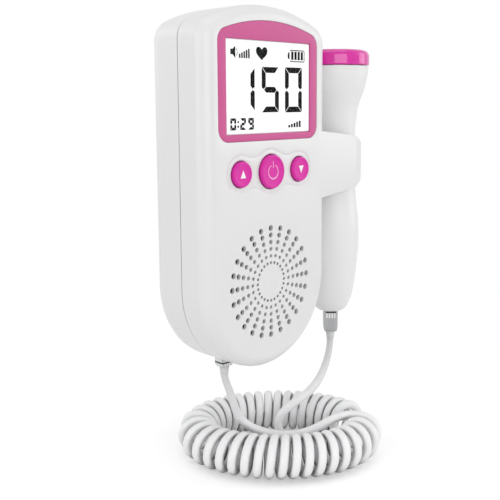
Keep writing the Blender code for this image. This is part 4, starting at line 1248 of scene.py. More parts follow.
@dataclass
class Grille:
    """Six rings of round holes that grow outward, each hole in its own polar cell."""

    inner_radius: float = 0.00724
    ring_step: float = 0.00263
    rings: int = 6
    spokes: int = 24
    small_hole: float = 0.0011
    large_hole: float = 0.0022
    chamfer: float = 0.00015
    wall: float = 0.0014
    cell_points: int = 16

    def square(self) -> Run:
        """Even angles round a hole, and the same directions carried out to a square's border."""
        circle = directions(full_turn(self.cell_points))
        return circle, circle / np.abs(circle).max(axis=1, keepdims=True)

    def border(self, radius: float) -> Array:
        """The cells' common border at a radius, (n, 2)."""
        _, square = self.square()
        shares = np.sort(square[np.isclose(square[:, 0], 1)][:, 1])[:-1]
        turn = (2 * math.pi / self.spokes * (np.arange(self.spokes)[:, None] + shares[None] / 2)).ravel()
        return radius * directions(turn)

    def outer_border(self) -> Array:
        """Border between the grille and the rest of the face."""
        return self.border(self.inner_radius + (self.rings - 0.5) * self.ring_step)

    def cells(self, front: float, back: float) -> Array:
        """Every hole with its share of the wall, on both faces.

        A border point is at radius R + u step / 2 and angle A + v half-spoke, with (u, v) on a
        square's border; the hole is the circle in the same direction round the cell's middle.

        Args:
            front: Y of the face.
            back: Y of its inner side.

        Returns:
            Grids of points, (rings, spokes, rows, columns, 3).
        """
        circle, square = self.square()
        ring = np.arange(self.rings)[:, None, None]
        middle = self.inner_radius + ring * self.ring_step
        hole = (self.small_hole + ring / (self.rings - 1) * (self.large_hole - self.small_hole)) / 2
        angle = (2 * math.pi / self.spokes * np.arange(self.spokes))[None, :, None]
        reach = middle + square[:, 0] * self.ring_step / 2
        turn = angle + square[:, 1] * math.pi / self.spokes
        edge = reach[..., None] * directions(turn)
        out = directions(angle)
        side = directions(angle + math.pi / 2)
        way = circle[:, :1] * out + circle[:, 1:] * side
        rows = []
        steps = ((None, front), (self.chamfer, front), (0, front + self.chamfer), (0, back), (None, back))
        for grow, depth in steps:
            flat = edge if grow is None else middle[..., None] * out + (hole + grow)[..., None] * way
            rows.append(at_depth(np.broadcast_to(flat, edge.shape), depth))
        return np.stack(rows, axis=2)

    def disc(self, depth: float) -> Array:
        """The plain disc in the middle, as rings that shrink to its centre."""
        shares = np.array([1, 0.6, 0.25, 0])[:, None, None]
        return at_depth(shares * self.border(self.inner_radius - self.ring_step / 2), depth)


@dataclass
class Casing:
    """Front and back shells, the cell door and the case screws."""

    layout: Layout = LAYOUT
    top_radius: float = 0.071
    corner_radius: float = 0.008
    front_round: float = 0.005
    back_round: float = 0.006
    inner_round: float = 0.003
    wall: float = 0.002
    back_inner_y: float = -0.0036
    lip: float = 0.00022
    tongue: tuple[float, float] = (0.0010, 0.0012)
    rabbet: tuple[float, float] = (0.0008, 0.0016)
    support: float = 0.00012
    pocket_depth: float = 0.0015
    pocket_edge: float = 0.0001
    pocket_chamfer: float = 0.00015
    bay_half_width: float = 0.0154
    bay_bottom: float = 0.0345
    bay_top: float = 0.0872
    bay_floor_y: float = -0.0171
    bay_edge: float = 0.0006
    tub_wall: float = 0.0012
    ledge_y: float = -0.0020
    door_half_width: float = 0.0172
    door_bottom: float = 0.0318
    door_top: float = 0.0899
    door_corner: float = 0.0020
    door_foot: float = 0.0003
    door_edge: float = 0.00025
    door_thickness: float = 0.0017
    dish_level: float = 0.0809
    dish_radius: float = 0.0052
    dish_depth: float = 0.0006
    dish_rib: float = 0.00030
    dish_rib_pitch: float = 0.0016
    screw_x: float = 0.0266
    screw_levels: tuple[float, float] = (0.0080, 0.0850)
    screw_way: float = 0.0014
    screw_seat: float = 0.0023
    screw_depth: float = 0.0080
    screw_head: float = 0.0017
    boss_radius: float = 0.0034
    grille: Grille = field(default_factory=Grille)

    def outline(self, extra: Sequence[float] = ()) -> Outline:
        """The casing's outline: a half circle below, straight sides and a shallow arc above."""
        lay = self.layout
        below = np.unique(np.concatenate([np.linspace(180, 360, 97), extra]))
        way = directions(np.radians(below))
        bottom = [(lay.half_width * way, way)]
        return domed(lay.half_width, lay.top, self.top_radius, self.corner_radius, bottom, 0.0)

    def front_shell(self, display: "Display", pad: "ButtonPad") -> None:
        """The front shell with its pockets, openings and grille.

        Args:
            display: Gives the pocket and the opening of the display.
            pad: Gives the pocket and the holes of the buttons.
        """
        lay, draft, outline = self.layout, Draft(), self.outline()
        face, back, seam = lay.face_y, lay.face_inner_y, lay.seam_y - lay.gap / 2
        inset, tall = self.tongue
        rows = [(self.front_round + self.support, face), *edge_rows(self.front_round, face, 1, 16)]
        rows += [(0, face + 0.0058), (0, seam - 2 * self.lip), (0, seam - self.lip), (self.lip, seam)]
        rows += [(inset, seam), (inset, seam + tall), (self.wall - 0.0002, seam + tall), (self.wall, seam)]
        rows += [(self.wall + i, y) for i, y in edge_rows(self.inner_round, back, 1, 5)[::-1]]
        draft.grid(outline.loft(rows))
        floor, thin = face + self.pocket_depth, face + self.grille.wall
        ways = [display.opening(), *pad.holes()]
        loops = [way.points for way in ways]
        openings = [self.grille.outer_border()]
        for pocket, edge, inner in (
            (display.outline(), edge_rows(self.pocket_edge, face, 1, 3), loops[:1]),
            (pad.outline(), pad.groove_rows(), loops[1:]),
        ):
            lead_in = [(-lay.gap - i, y) for i, y in edge]
            openings.append(pocket.inset(lead_in[0][0]))
            draft.grid(pocket.loft(lead_in + [(-lay.gap, floor)]))
            draft.sheet(floor, pocket.inset(-lay.gap), *inner)
        draft.sheet(face, outline.inset(rows[0][0]), *openings)
        draft.grid(self.grille.cells(face, thin))
        draft.grid(self.grille.disc(face)).grid(self.grille.disc(thin))
        border = openings[0]
        draft.grid(Outline(border, np.zeros_like(border)).loft([(0, thin), (0, back)]))
        for way in ways:
            draft.grid(way.loft([(0, floor), (0, back)]))
        draft.sheet(back, outline.inset(rows[-1][0]), *loops, border)
        dress(draft.build("casing_front_shell"), casing_white, ["front_cover"])

    def back_shell(self) -> None:
        """The back shell with its cell bay, screw wells and the way in for the plug."""
        lay, draft, seam = self.layout, Draft(), self.layout.seam_y + self.layout.gap / 2
        wide, deep = lay.plug_width / 2 + lay.gap, lay.plug_depth / 2 + lay.gap
        low, high = lay.unit_plug_y - deep, lay.unit_plug_y + deep
        edges = (lay.unit_plug_x + np.array([-wide, wide])) / lay.half_width
        angles = 360 - np.degrees(np.arccos(edges))
        outline = self.outline(angles)
        outer = [(self.lip, seam), (0, seam + self.lip), (0, seam + 2 * self.lip), (0, low), (0, high)]
        outer += edge_rows(self.back_round, 0, -1, 14)[::-1] + [(self.back_round + self.support, 0)]
        rabbet, step = self.rabbet
        inner = [(self.wall, seam + step), (self.wall, low), (self.wall, high)]
        inner += [(self.wall + i, y) for i, y in edge_rows(self.inner_round, self.back_inner_y, -1, 4)[::-1]]
        turn = np.degrees(np.arctan2(outline.points[:, 1], outline.points[:, 0])) % 360
        cut = (turn >= angles.min() - 1e-6) & (turn < angles.max() - 1e-6)
        for rows, opened in ((outer, 3), (inner, 1)):
            keep = np.ones((len(rows) - 1, len(cut)), bool)
            keep[opened, cut] = False
            draft.grid(outline.loft(rows), keep)
        draft.grid(outline.loft([outer[0], (rabbet, seam), (rabbet, seam + step), inner[0]]))
        way = np.flatnonzero(cut)
        way = np.append(way, way[-1] + 1)
        border = np.append(way, way[::-1])
        ring = Outline(outline.points[border], outline.normals[border])
        depth = np.repeat([low, high], len(way))
        draft.grid(np.stack([at_depth(ring.inset(i), depth) for i in (0, self.wall)]))
        self.bay(draft, outline.inset(outer[-1][0]), outline.inset(inner[-1][0]), seam)
        dress(draft.build("casing_back_shell"), casing_white, ["back_cover"])

    def bay(self, draft: Draft, outer: Array, inner: Array, end: float) -> None:
        """The flat back with the door's way, the bay behind it and the screw wells.

        Args:
            draft: Draft of the back shell.
            outer: Border of the flat back.
            inner: Border of its inner side.
            end: Y at which the screws' bosses end.
        """
        back, floor, ledge, wall = self.back_inner_y, self.bay_floor_y, self.ledge_y, self.tub_wall
        chamfer, edge, narrow = self.pocket_chamfer, self.bay_edge, self.screw_seat - self.screw_way
        half, low, high = self.bay_half_width, self.bay_bottom, self.bay_top
        door = self.door_way(self.layout.gap)
        room = Outline.rounded(-half, half, low, high, wall, 5)
        tub = Outline.rounded(-half - wall, half + wall, low - wall, high + wall, wall, 5)
        wells = [(side.value * self.screw_x, level) for side in Side for level in self.screw_levels]
        seats = [Outline.circle(*well, self.screw_seat, 40) for well in wells]
        bosses = [Outline.circle(*well, self.boss_radius, 40) for well in wells]
        draft.sheet(0.0, outer, *[way.inset(-chamfer) for way in (door, *seats)])
        draft.grid(door.loft([(-chamfer, 0), (0, -chamfer), (0, ledge)]))
        draft.sheet(ledge, door.points, room.points)
        draft.grid(room.loft([(0, ledge), (0, floor + edge), (edge, floor)])).sheet(floor, room.inset(edge))
        draft.sheet(back, inner, tub.points, *[boss.points for boss in bosses])
        draft.grid(tub.loft([(0, back), (0, floor - wall)])).sheet(floor - wall, tub.points)
        well_rows = [(-chamfer, 0), (0, -chamfer), (0, -self.screw_depth), (narrow, -self.screw_depth),
                     (narrow, end)]
        for seat, boss in zip(seats, bosses):
            draft.grid(seat.loft(well_rows))
            draft.grid(boss.loft([(0, back), (0, end)])).sheet(end, boss.points, seat.inset(narrow))

    def door_way(self, grow: float = 0.0) -> Outline:
        """Outline of the cell door, or of its way when grown: nearly square below, round above."""
        half, top, low = self.door_half_width + grow, self.door_top + grow, self.door_bottom - grow
        return Outline.rounded(-half, half, low, top, self.door_corner + grow, 8, 24, self.door_foot)

    def door(self) -> None:
        """The cell door: a plate with a round lower edge and a ribbed dish for the thumb.

        The dish is y = -depth * (1 - r^2)^1.5 plus ribs of max(0, cos)^3 across it, and at most 0.
        """
        outline, thick, dish = self.door_way(), self.door_thickness, self.dish_radius
        radius = np.where(outline.normals[:, 1] < -0.9, thick / 2, self.door_edge)
        turn = np.linspace(0, math.pi / 2, 7)[:, None]
        inset, depth = radius * (1 - np.sin(turn)), -radius * (1 - np.cos(turn))
        inset = np.concatenate([inset, inset[::-1]])
        flat = outline.points - inset[..., None] * outline.normals
        draft = Draft().grid(at_depth(flat, np.concatenate([depth, -thick - depth[::-1]])))
        rim = Outline.circle(0, self.dish_level, dish, 64).points
        draft.sheet(0.0, flat[0], rim).sheet(-thick, flat[-1])
        reach = np.linspace(1, 0, 26)[:, None]
        spot = dish * reach[..., None] * directions(full_turn(64))
        x, z = np.moveaxis(spot, -1, 0)
        ribs = self.dish_rib * np.maximum(0, np.cos(z * 2 * math.pi / self.dish_rib_pitch)) ** 3
        ribs = ribs * smooth_step(1 - reach, 0.12, 0.3) * smooth_step(dish * 0.8 - np.abs(x), 0, 0.0008)
        height = np.minimum(ribs - self.dish_depth * (1 - reach ** 2) ** 1.5, 0.0)
        height[0] = 0.0
        draft.grid(at_depth(spot + [0, self.dish_level], height))
        dress(draft.build("cell_door"), casing_white, ["battery_door"], Body.DOOR)

    def screws(self) -> None:
        """Four pan-head screws with a cross recess, down in their wells.

        The head's top is a shallow dome less a cross: two bars with sloping ends.
        """
        seat, head = -self.screw_depth + self.layout.gap, self.screw_head
        reach = np.linspace(0, 1, 22)[:, None]
        spot = head * reach[..., None] * directions(full_turn(48))
        x, z = np.moveaxis(spot, -1, 0)
        arms = [
            smooth_step(0.00038 - np.abs(a), 0, 0.00012) * smooth_step(0.00125 - np.abs(b), 0, 0.0004)
            for a, b in ((x, z), (z, x))
        ]
        top = 0.0020 - 0.00035 * reach ** 2 - 0.0009 * np.maximum(*arms)
        skirt = np.array([(head, -0.00165), (0.0019, -0.0014), (0.0020, -0.0010), (0.0020, 0.0),
                          (0.0011, 0.0), (0.0011, 0.0125), (0.0, 0.0125)])
        body = turned(skirt, 48, (0, seat, 0), along_y=True)
        for side in Side:
            for level, tag in zip(self.screw_levels, ("low", "high")):
                name = f"screw_{side.name.lower()}_{tag}"
                draft = Draft().grid(at_depth(spot, seat + top)).grid(body)
                draft.moved(Matrix.Translation((side.value * self.screw_x, 0, level)))
                dress(draft.build(name), screw_steel, ["case_" + name])


# ---- clip


@dataclass
class ProbeClip:
    """The arm that runs on from the face and curls round the probe, and the jaw behind it."""

    layout: Layout = LAYOUT
    outer_radius: float = 0.0126
    wall: float = 0.0017
    middle: float = 0.042288
    edge: float = 0.0005
    sink: float = 0.00002
    root_x: float = 0.0266
    tip_degrees: float = 12.0
    tip_corner: float = 0.0024
    lengths: tuple[float, ...] = (0.0, 0.0249, 0.0319, 0.0403, 0.0473)
    halves: tuple[float, ...] = (0.0137, 0.0111, 0.0078, 0.00665, 0.0045)

    def half_height(self, run: Array) -> Array:
        """Half height along the arm: straight between places, smoothed, and round at the tip."""
        fine = np.linspace(-0.004, self.lengths[-1] + 0.004, 600)
        raw = np.interp(fine, self.lengths, self.halves)
        window = np.hanning(61)
        smooth = np.convolve(np.pad(raw, 30, mode="edge"), window / window.sum(), mode="valid")
        half, corner = np.interp(run, fine, smooth), self.tip_corner
        left = np.clip(corner - (run[-1] - run), 0, corner)
        return half - corner + np.sqrt(corner ** 2 - left ** 2) * 0.999 + 0.001 * corner

    def wall_grid(self, base: Array, normal: Array, half: Array) -> Array:
        """Carry a rounded bar section along the arm.

        Each station's section is P = base - depth * normal at height z, with its four edges round.

        Args:
            base: Points on the outer face in X and Y, (n, 2).
            normal: Outward normals there.
            half: Half height at each station.

        Returns:
            Grid of points, closed at both ends.
        """
        turn = np.radians(np.concatenate([np.linspace(a, a + 90, 6) for a in (0, 90, 180, 270)]))
        corner_depth = np.repeat([self.wall - self.edge, self.edge, self.edge, self.wall - self.edge], 6)
        sign = np.repeat([1, 1, -1, -1], 6)
        depth = corner_depth + self.edge * np.cos(turn)
        height = sign * (half[:, None] - self.edge) + self.edge * np.sin(turn)
        flat = base[:, None] - depth[None, :, None] * normal[:, None]
        grid = np.concatenate([flat, (self.middle + height)[..., None]], axis=-1)
        ends = [np.broadcast_to(row.mean(axis=0), row.shape)[None] for row in (grid[0], grid[-1])]
        return np.concatenate([ends[0], grid, ends[1]])

    def build(self) -> None:
        """Make the arm and the jaw."""
        lay, corner, reach = self.layout, self.tip_corner, self.outer_radius
        root = np.linspace(self.root_x, lay.probe_x, 26)
        bend = np.radians(np.linspace(-90, self.tip_degrees, 61))[1:]
        centre = np.array([lay.probe_x, lay.probe_y + self.sink])
        straight = np.stack([root, np.full_like(root, lay.face_y + self.sink)], axis=1)
        base = np.concatenate([straight, centre + reach * directions(bend)])
        normal = np.concatenate([np.tile([0.0, -1.0], (len(root), 1)), directions(bend)])
        run = np.concatenate([root - root[0], lay.probe_x - root[0] + reach * (bend + math.pi / 2)])
        dense = np.unique(np.append(run, run[-1] - corner * (1 - np.cos(np.linspace(0, math.pi / 2, 12)))))
        base, normal = (
            np.stack([np.interp(dense, run, line[:, k]) for k in (0, 1)], axis=1) for line in (base, normal)
        )
        draft = Draft().grid(self.wall_grid(base, unit(normal), self.half_height(dense)))
        back = np.radians(np.linspace(-82, -180 - self.tip_degrees, 60))
        way, reach = directions(back), reach - 0.00008
        left = np.clip(corner - reach * np.abs(back - back[-1]), 0, corner)
        half = np.linspace(self.halves[1], self.halves[2], len(back)) - 0.0006
        half = np.maximum(half - corner + np.sqrt(corner ** 2 - left ** 2), self.edge * 1.2)
        draft.grid(self.wall_grid(centre + reach * way, way, half))
        dress(draft.build("probe_clip", crease=40), casing_white)


# ---- display


@dataclass
class Display:
    """The coloured frame, and what the display shows behind its window."""

    layout: Layout = LAYOUT
    half_width: float = 0.0261
    bottom: float = 0.053388
    top: float = 0.0958
    top_radius: float = 0.075
    corner: float = 0.0045
    thickness: float = 0.0012
    view_half: float = 0.0223
    view_bottom: float = 0.055688
    view_top: float = 0.0890
    window_half: float = 0.0236
    edge: float = 0.00028
    pocket_fit: float = 0.00006
    pane_front: float = -0.02920
    pane_back: float = -0.02912
    flange_front: float = -0.02825
    flange_back: float = -0.0272
    stack_front: float = -0.02906
    stack_back: float = -0.0244
    ink: float = 0.00003
    bar_gap: float = 0.17

    def outline(self) -> Outline:
        """Outline of the coloured frame."""
        x, z = self.half_width - self.corner, self.bottom + self.corner
        bottom = [
            arc_run(-x, z, self.corner, 180, 270, 12),
            line_run((-x, self.bottom), (x, self.bottom), 20),
            arc_run(x, z, self.corner, 270, 360, 12),
        ]
        return domed(self.half_width, self.top, self.top_radius, self.corner, bottom, z, 20)

    def view(self) -> Outline:
        """The rectangle that stays open to the display."""
        half = self.view_half
        return Outline.rounded(-half, half, self.view_bottom, self.view_top, 0.0004, 3, 16)

    def opening(self) -> Outline:
        """The opening through the front shell behind the frame."""
        half, grow = self.window_half, self.window_half - self.view_half
        return Outline.rounded(-half, half, self.view_bottom - grow, self.view_top + grow, 0.0003, 2, 12)

    def spot(self, u: float | Array, v: float | Array) -> Array:
        """A place on the display, from shares of its view: u from the left, v from the top."""
        x = -self.view_half + np.asarray(u, float) * 2 * self.view_half
        z = self.view_top - np.asarray(v, float) * (self.view_top - self.view_bottom)
        return np.stack(np.broadcast_arrays(x, z), axis=-1)

    def frame(self) -> None:
        """The coloured frame: a flat ring with small round edges, a close fit in its pocket."""
        outline, view, face = self.outline(), self.view(), self.layout.face_y
        back, grow = face + self.thickness, self.layout.gap - self.pocket_fit
        rows = edge_rows(self.edge, face, 1, 4) + [(0, back)]
        draft = Draft().grid(outline.loft([(i - grow, y) for i, y in rows]))
        draft.grid(view.loft([(-i, y) for i, y in rows]))
        draft.sheet(face, outline.inset(self.edge - grow), view.inset(-self.edge))
        draft.sheet(back, outline.inset(-grow), view.points)
        dress(draft.build("display_frame", crease=30), bezel_pink, ["display_bezel"])

    def pane(self) -> None:
        """The clear pane, raised into the frame's opening, and the white stack of the display in it."""
        view, front, wide, slim = self.view(), self.pane_front, -0.0010, 0.00025
        rows = [(0.00012, front), (0.00005, front + 0.00007), (0.00005, self.flange_front),
                (wide, self.flange_front), (wide, self.flange_back), (slim, self.flange_back),
                (slim, self.pane_back)]
        pane = Draft().capped(view, rows).build("display_pane", crease=30)
        dress(pane, window_clear, ["display_window"])
        step = self.flange_back + 0.0001
        rows = [(0.00030, self.stack_front), (0.00030, step), (-0.0013, step), (-0.0013, self.stack_back)]
        stack = Draft().capped(view, rows).build("display_stack", crease=30)
        dress(stack, display_white, ["display_glass"])

    def printed(self, name: str, loops: Sequence[Array], finish: Finish) -> None:
        """Lay thin plates on the display's face."""
        plates = Draft().prisms(loops, self.stack_front - self.ink, self.stack_front + self.ink)
        dress(plates.build(name), finish)

    def digit(self, first: Array, last: Array, shown: str, stroke: float) -> list[Array]:
        """The bars of one digit, each mitred against its neighbours; four are mirror images.

        Args:
            first: Its upper left corner, in metres.
            last: Its lower right corner.
            shown: Letters of the bars that are dark.
            stroke: Width of a bar.

        Returns:
            Loops in X and Z.
        """
        wide, tall = np.abs(last - first) / 2
        half, gap = stroke / 2, stroke * self.bar_gap / 2
        inner, outer = wide - stroke - gap, wide - half - gap
        low, end = tall - stroke, wide - gap
        cap = np.array([(-end, tall), (end, tall), (inner, low), (-inner, low)])
        side = np.array([
            (wide, tall - gap), (wide - stroke, low - gap), (wide - stroke, half + gap),
            (wide - half, gap), (wide, 0.3 * stroke + gap),
        ])
        bars = {
            Segment.TOP: cap, Segment.BOTTOM: cap * [1, -1],
            Segment.MIDDLE: np.array([(-outer, 0), (-inner, half), (inner, half),
                                      (outer, 0), (inner, -half), (-inner, -half)]),
            Segment.UPPER_RIGHT: side, Segment.UPPER_LEFT: side * [-1, 1],
            Segment.LOWER_RIGHT: side * [1, -1], Segment.LOWER_LEFT: -side,
        }
        return [(first + last) / 2 + bars[part] for part in Segment if part.value in shown]

    def reading(self) -> None:
        """The large number and the small clock figures: plain seven-bar digits."""
        rows = (
            (0.197, 0.322, 0.293, 0.752, "bc", 0.0021), (0.405, 0.610, 0.280, 0.770, "afgcd", 0.0021),
            (0.687, 0.902, 0.275, 0.775, "abcdef", 0.0021), (0.046, 0.110, 0.826, 0.952, "abcdef", 0.00095),
            (0.156, 0.220, 0.826, 0.952, "abged", 0.00095), (0.247, 0.311, 0.826, 0.952, "abcdfg", 0.00095),
        )
        loops = []
        for u0, u1, v0, v1, shown, stroke in rows:
            loops += self.digit(self.spot(u0, v0), self.spot(u1, v1), shown, stroke)
        loops += [Outline.circle(*self.spot(0.133, v), 0.00042, 12).points for v in (0.866, 0.916)]
        self.printed("display_digits", loops, display_ink)

    def bars(self, starts: Array, width: float, foot: float, heights: Array) -> list[Array]:
        """Upright bars, from the shares where they start, their common width, foot and heights."""
        return [
            self.spot([u, u + width, u + width, u], [foot, foot, foot - tall, foot - tall])
            for u, tall in zip(starts.tolist(), heights.tolist())
        ]

    def symbols(self) -> None:
        """The plain symbols along the top edge: sound with its bars, a heart and the cell level."""
        horn = [0.054, 0.080, 0.108, 0.108, 0.080, 0.054], [0.108, 0.108, 0.072, 0.204, 0.164, 0.164]
        loops = [self.spot(*horn)]
        loops += self.bars(0.147 + 0.0258 * np.arange(5), 0.0172, 0.198, 0.044 + 0.0140 * np.arange(5))
        turn = full_turn(64)
        wide = np.sign(np.sin(turn)) * np.abs(np.sin(turn)) ** 2.2
        waves = zip((1, 2, 3, 4), (13, -4.2, -2, -1))
        tall = (sum(size * np.cos(order * turn) for order, size in waves) + 3.2) / 29
        loops.append(self.spot(0.407 + wide * 0.067, 0.146 - tall * 0.148))
        loops += self.bars(0.766 + 0.0405 * np.arange(4), 0.0280, 0.190, np.full(4, 0.092))
        nub = [0.722, 0.732, 0.744, 0.744, 0.732, 0.722], [0.124, 0.108, 0.108, 0.184, 0.184, 0.168]
        loops.append(self.spot(*nub))
        loops += self.bars(0.728 + 0.034 * np.arange(5), 0.023, 0.945, 0.028 + 0.011 * np.arange(5))
        self.printed("display_symbols", loops, display_ink)
        left, right = self.spot([0.750, 0.936], 0.0)[:, 0]
        low, high = self.spot(0.0, [0.214, 0.080])[:, 1]
        outer = Outline.rounded(left, right, low, high, 0.0006, 4)
        inner = outer.inset(0.00036)
        half = len(outer.points) // 2
        halves = [
            np.concatenate([outer.points[part], inner[part][::-1]])
            for part in (slice(0, half + 1), slice(half, None))
        ]
        way = directions(np.radians(np.linspace(-50, 50, 12)))
        wave = self.spot(0.094, 0.138) + np.concatenate([0.0017 * way, 0.0015 * way[::-1]])
        self.printed("display_outlines", [*halves, wave], display_grey)

    def build(self) -> None:
        """Make the frame, the pane and what the display shows."""
        self.frame()
        self.pane()
        self.reading()
        self.symbols()


# ---- buttons


@dataclass
class Button:
    """One round push button, turned about its axis, with its symbol on top."""

    name: str
    body: Body
    x: float
    radius: float
    layout: Layout = LAYOUT
    protrusion: float = 0.0014
    edge: float = 0.0006
    rim: float = 0.00055
    dip: float = 0.00018
    ink: float = 0.00004
    flange: float = 0.0012
    flange_depth: float = 0.0027
    flange_thickness: float = 0.0010
    stem_radius: float = 0.0016
    stem_depth: float = 0.0057

    def profile(self) -> Array:
        """Radius and height of the cap: flat middle, a narrow raised rim, a round edge, a flange."""
        turn = np.radians(np.linspace(0, 90, 9))
        top, inner = self.protrusion, self.radius - self.edge - self.rim
        middle = [(0, top - self.dip), (inner * 0.5, top - self.dip), (inner - 0.0003, top - self.dip)]
        lift = [(inner - 0.0002, top - self.dip * 0.9), (inner, top - self.dip * 0.3), (inner + 0.0001, top)]
        crown = np.stack([
            self.radius - self.edge + self.edge * np.sin(turn), top - self.edge + self.edge * np.cos(turn)
        ], axis=1).tolist()
        below, end, flange = -self.flange_depth, -self.stem_depth, self.radius + self.flange
        under = below - self.flange_thickness
        foot = [(self.radius, -0.0003), (self.radius, below), (flange, below), (flange, under),
                (self.stem_radius, under), (self.stem_radius, end), (0, end)]
        return np.array(middle + lift + crown + foot)

    def build(self) -> None:
        """Make the button."""
        lay = self.layout
        grid = turned(self.profile(), 72, (self.x, lay.face_y, lay.button_level), along_y=True)
        dress(Draft().grid(grid).build(self.name + "_cap"), button_pink, [self.name], self.body)

    def plates(self, loops: Sequence[Array], finish: Finish) -> None:
        """Lay thin plates on the button's flat middle.

        Args:
            loops: Outlines round the button's own middle.
            finish: Their finish.
        """
        top = self.layout.face_y - self.protrusion + self.dip
        loops = [loop + [self.x, self.layout.button_level] for loop in loops]
        draft = Draft().prisms(loops, top - self.ink, top + 0.0001)
        dress(draft.build(self.name + "_symbol"), finish, body=self.body)


@dataclass
class ButtonPad:
    """The plate round the three buttons, and the buttons."""

    layout: Layout = LAYOUT
    spacing: float = 0.0157
    small: float = 0.00465
    large: float = 0.00625
    margin: float = 0.0016
    neck: float = 0.0053
    waist_share: float = 0.57
    thickness: float = 0.0012
    groove_width: float = 0.0009
    groove_depth: float = 0.00026
    pocket_fit: float = 0.00002
    steps: int = 72

    def outline(self) -> Outline:
        """One smooth line round the three buttons, drawn in a little between them.

        The half height eases by cosines from the neck to the small circles outward and to the
        large one inward; beyond the small buttons it is their own circle.
        """
        small, large = self.small + self.margin, self.large + self.margin
        end, waist = self.spacing + small, self.spacing * self.waist_share
        x = -end * np.cos(np.linspace(0, math.pi, self.steps + 1))
        reach = np.abs(x)
        tip = np.sqrt(np.maximum(0, small ** 2 - (reach - self.spacing) ** 2))
        outward = 0.5 - 0.5 * np.cos(math.pi * (reach - waist) / (self.spacing - waist))
        inward = 0.5 + 0.5 * np.cos(math.pi * reach / waist)
        swell = np.where(reach > waist, outward * (small - self.neck), inward * (large - self.neck))
        height = np.where(reach > self.spacing, tip, self.neck + swell)
        upper = np.stack([x, height], axis=1)
        ring = np.concatenate([upper[::-1], (upper * [1, -1])[1:-1]])
        return Outline.through(ring + [0, self.layout.button_level])

    def holes(self) -> list[Outline]:
        """The three round holes."""
        return [
            Outline.circle(x, self.layout.button_level, radius + self.layout.gap, 64)
            for x, radius in ((-self.spacing, self.small), (0, self.large), (self.spacing, self.small))
        ]

    def groove_rows(self) -> Rows:
        """Half of the soft groove round the plate: a raised cosine from the face to its floor."""
        share = np.linspace(0, 1, 9)
        inset = self.groove_width * (1 - share)
        depth = self.layout.face_y + self.groove_depth * (0.5 - 0.5 * np.cos(math.pi * share))
        return list(zip(inset.tolist(), depth.tolist()))

    def plate(self) -> None:
        """The plate: a soft round border that fits its pocket closely, and small round hole edges."""
        lay = self.layout
        back = lay.face_y + self.thickness
        grow = lay.gap - self.pocket_fit
        outer = [(i - grow, y) for i, y in self.groove_rows() + [(0, back)]]
        inner = [(-i, y) for i, y in edge_rows(0.00018, lay.face_y, 1, 3) + [(0, back)]]
        outline, holes = self.outline(), self.holes()
        draft = Draft().grid(outline.loft(outer))
        for hole in holes:
            draft.grid(hole.loft(inner))
        for row in (0, -1):
            ways = [hole.inset(inner[row][0]) for hole in holes]
            draft.sheet(outer[row][1], outline.inset(outer[row][0]), *ways)
        dress(draft.build("button_plate", crease=30), casing_white, ["button_surround"])

    def build(self) -> None:
        """Make the plate, the buttons and their symbols."""
        self.plate()
        up = Button("button_up", Body.UP, -self.spacing, self.small)
        power = Button("button_power", Body.POWER, 0.0, self.large)
        down = Button("button_down", Body.DOWN, self.spacing, self.small)
        for button in (up, power, down):
            button.build()
        arrow = np.array([(-0.00135, -0.0013), (0.00135, -0.0013), (0.0, 0.0015)])
        up.plates([arrow], printed_white)
        down.plates([arrow * [1, -1]], printed_white)
        power.plates(self.power_sign(), printed_pale)

    def power_sign(self) -> list[Array]:
        """The power sign: a ring open at its top and a bar in the gap."""
        way = directions(np.radians(np.linspace(114, 426, 60)))
        inner = 0.00242 - 0.00022 * np.clip(-way[:, 1:], 0, 1)
        ring = np.concatenate([0.00278 * way, (inner * way)[::-1]]) + [0, -0.0001]
        bar = Outline.rounded(-0.00018, 0.00018, 0.0014, 0.0039, 0.00012, 3).points
        return [ring, bar]


# ---- probe


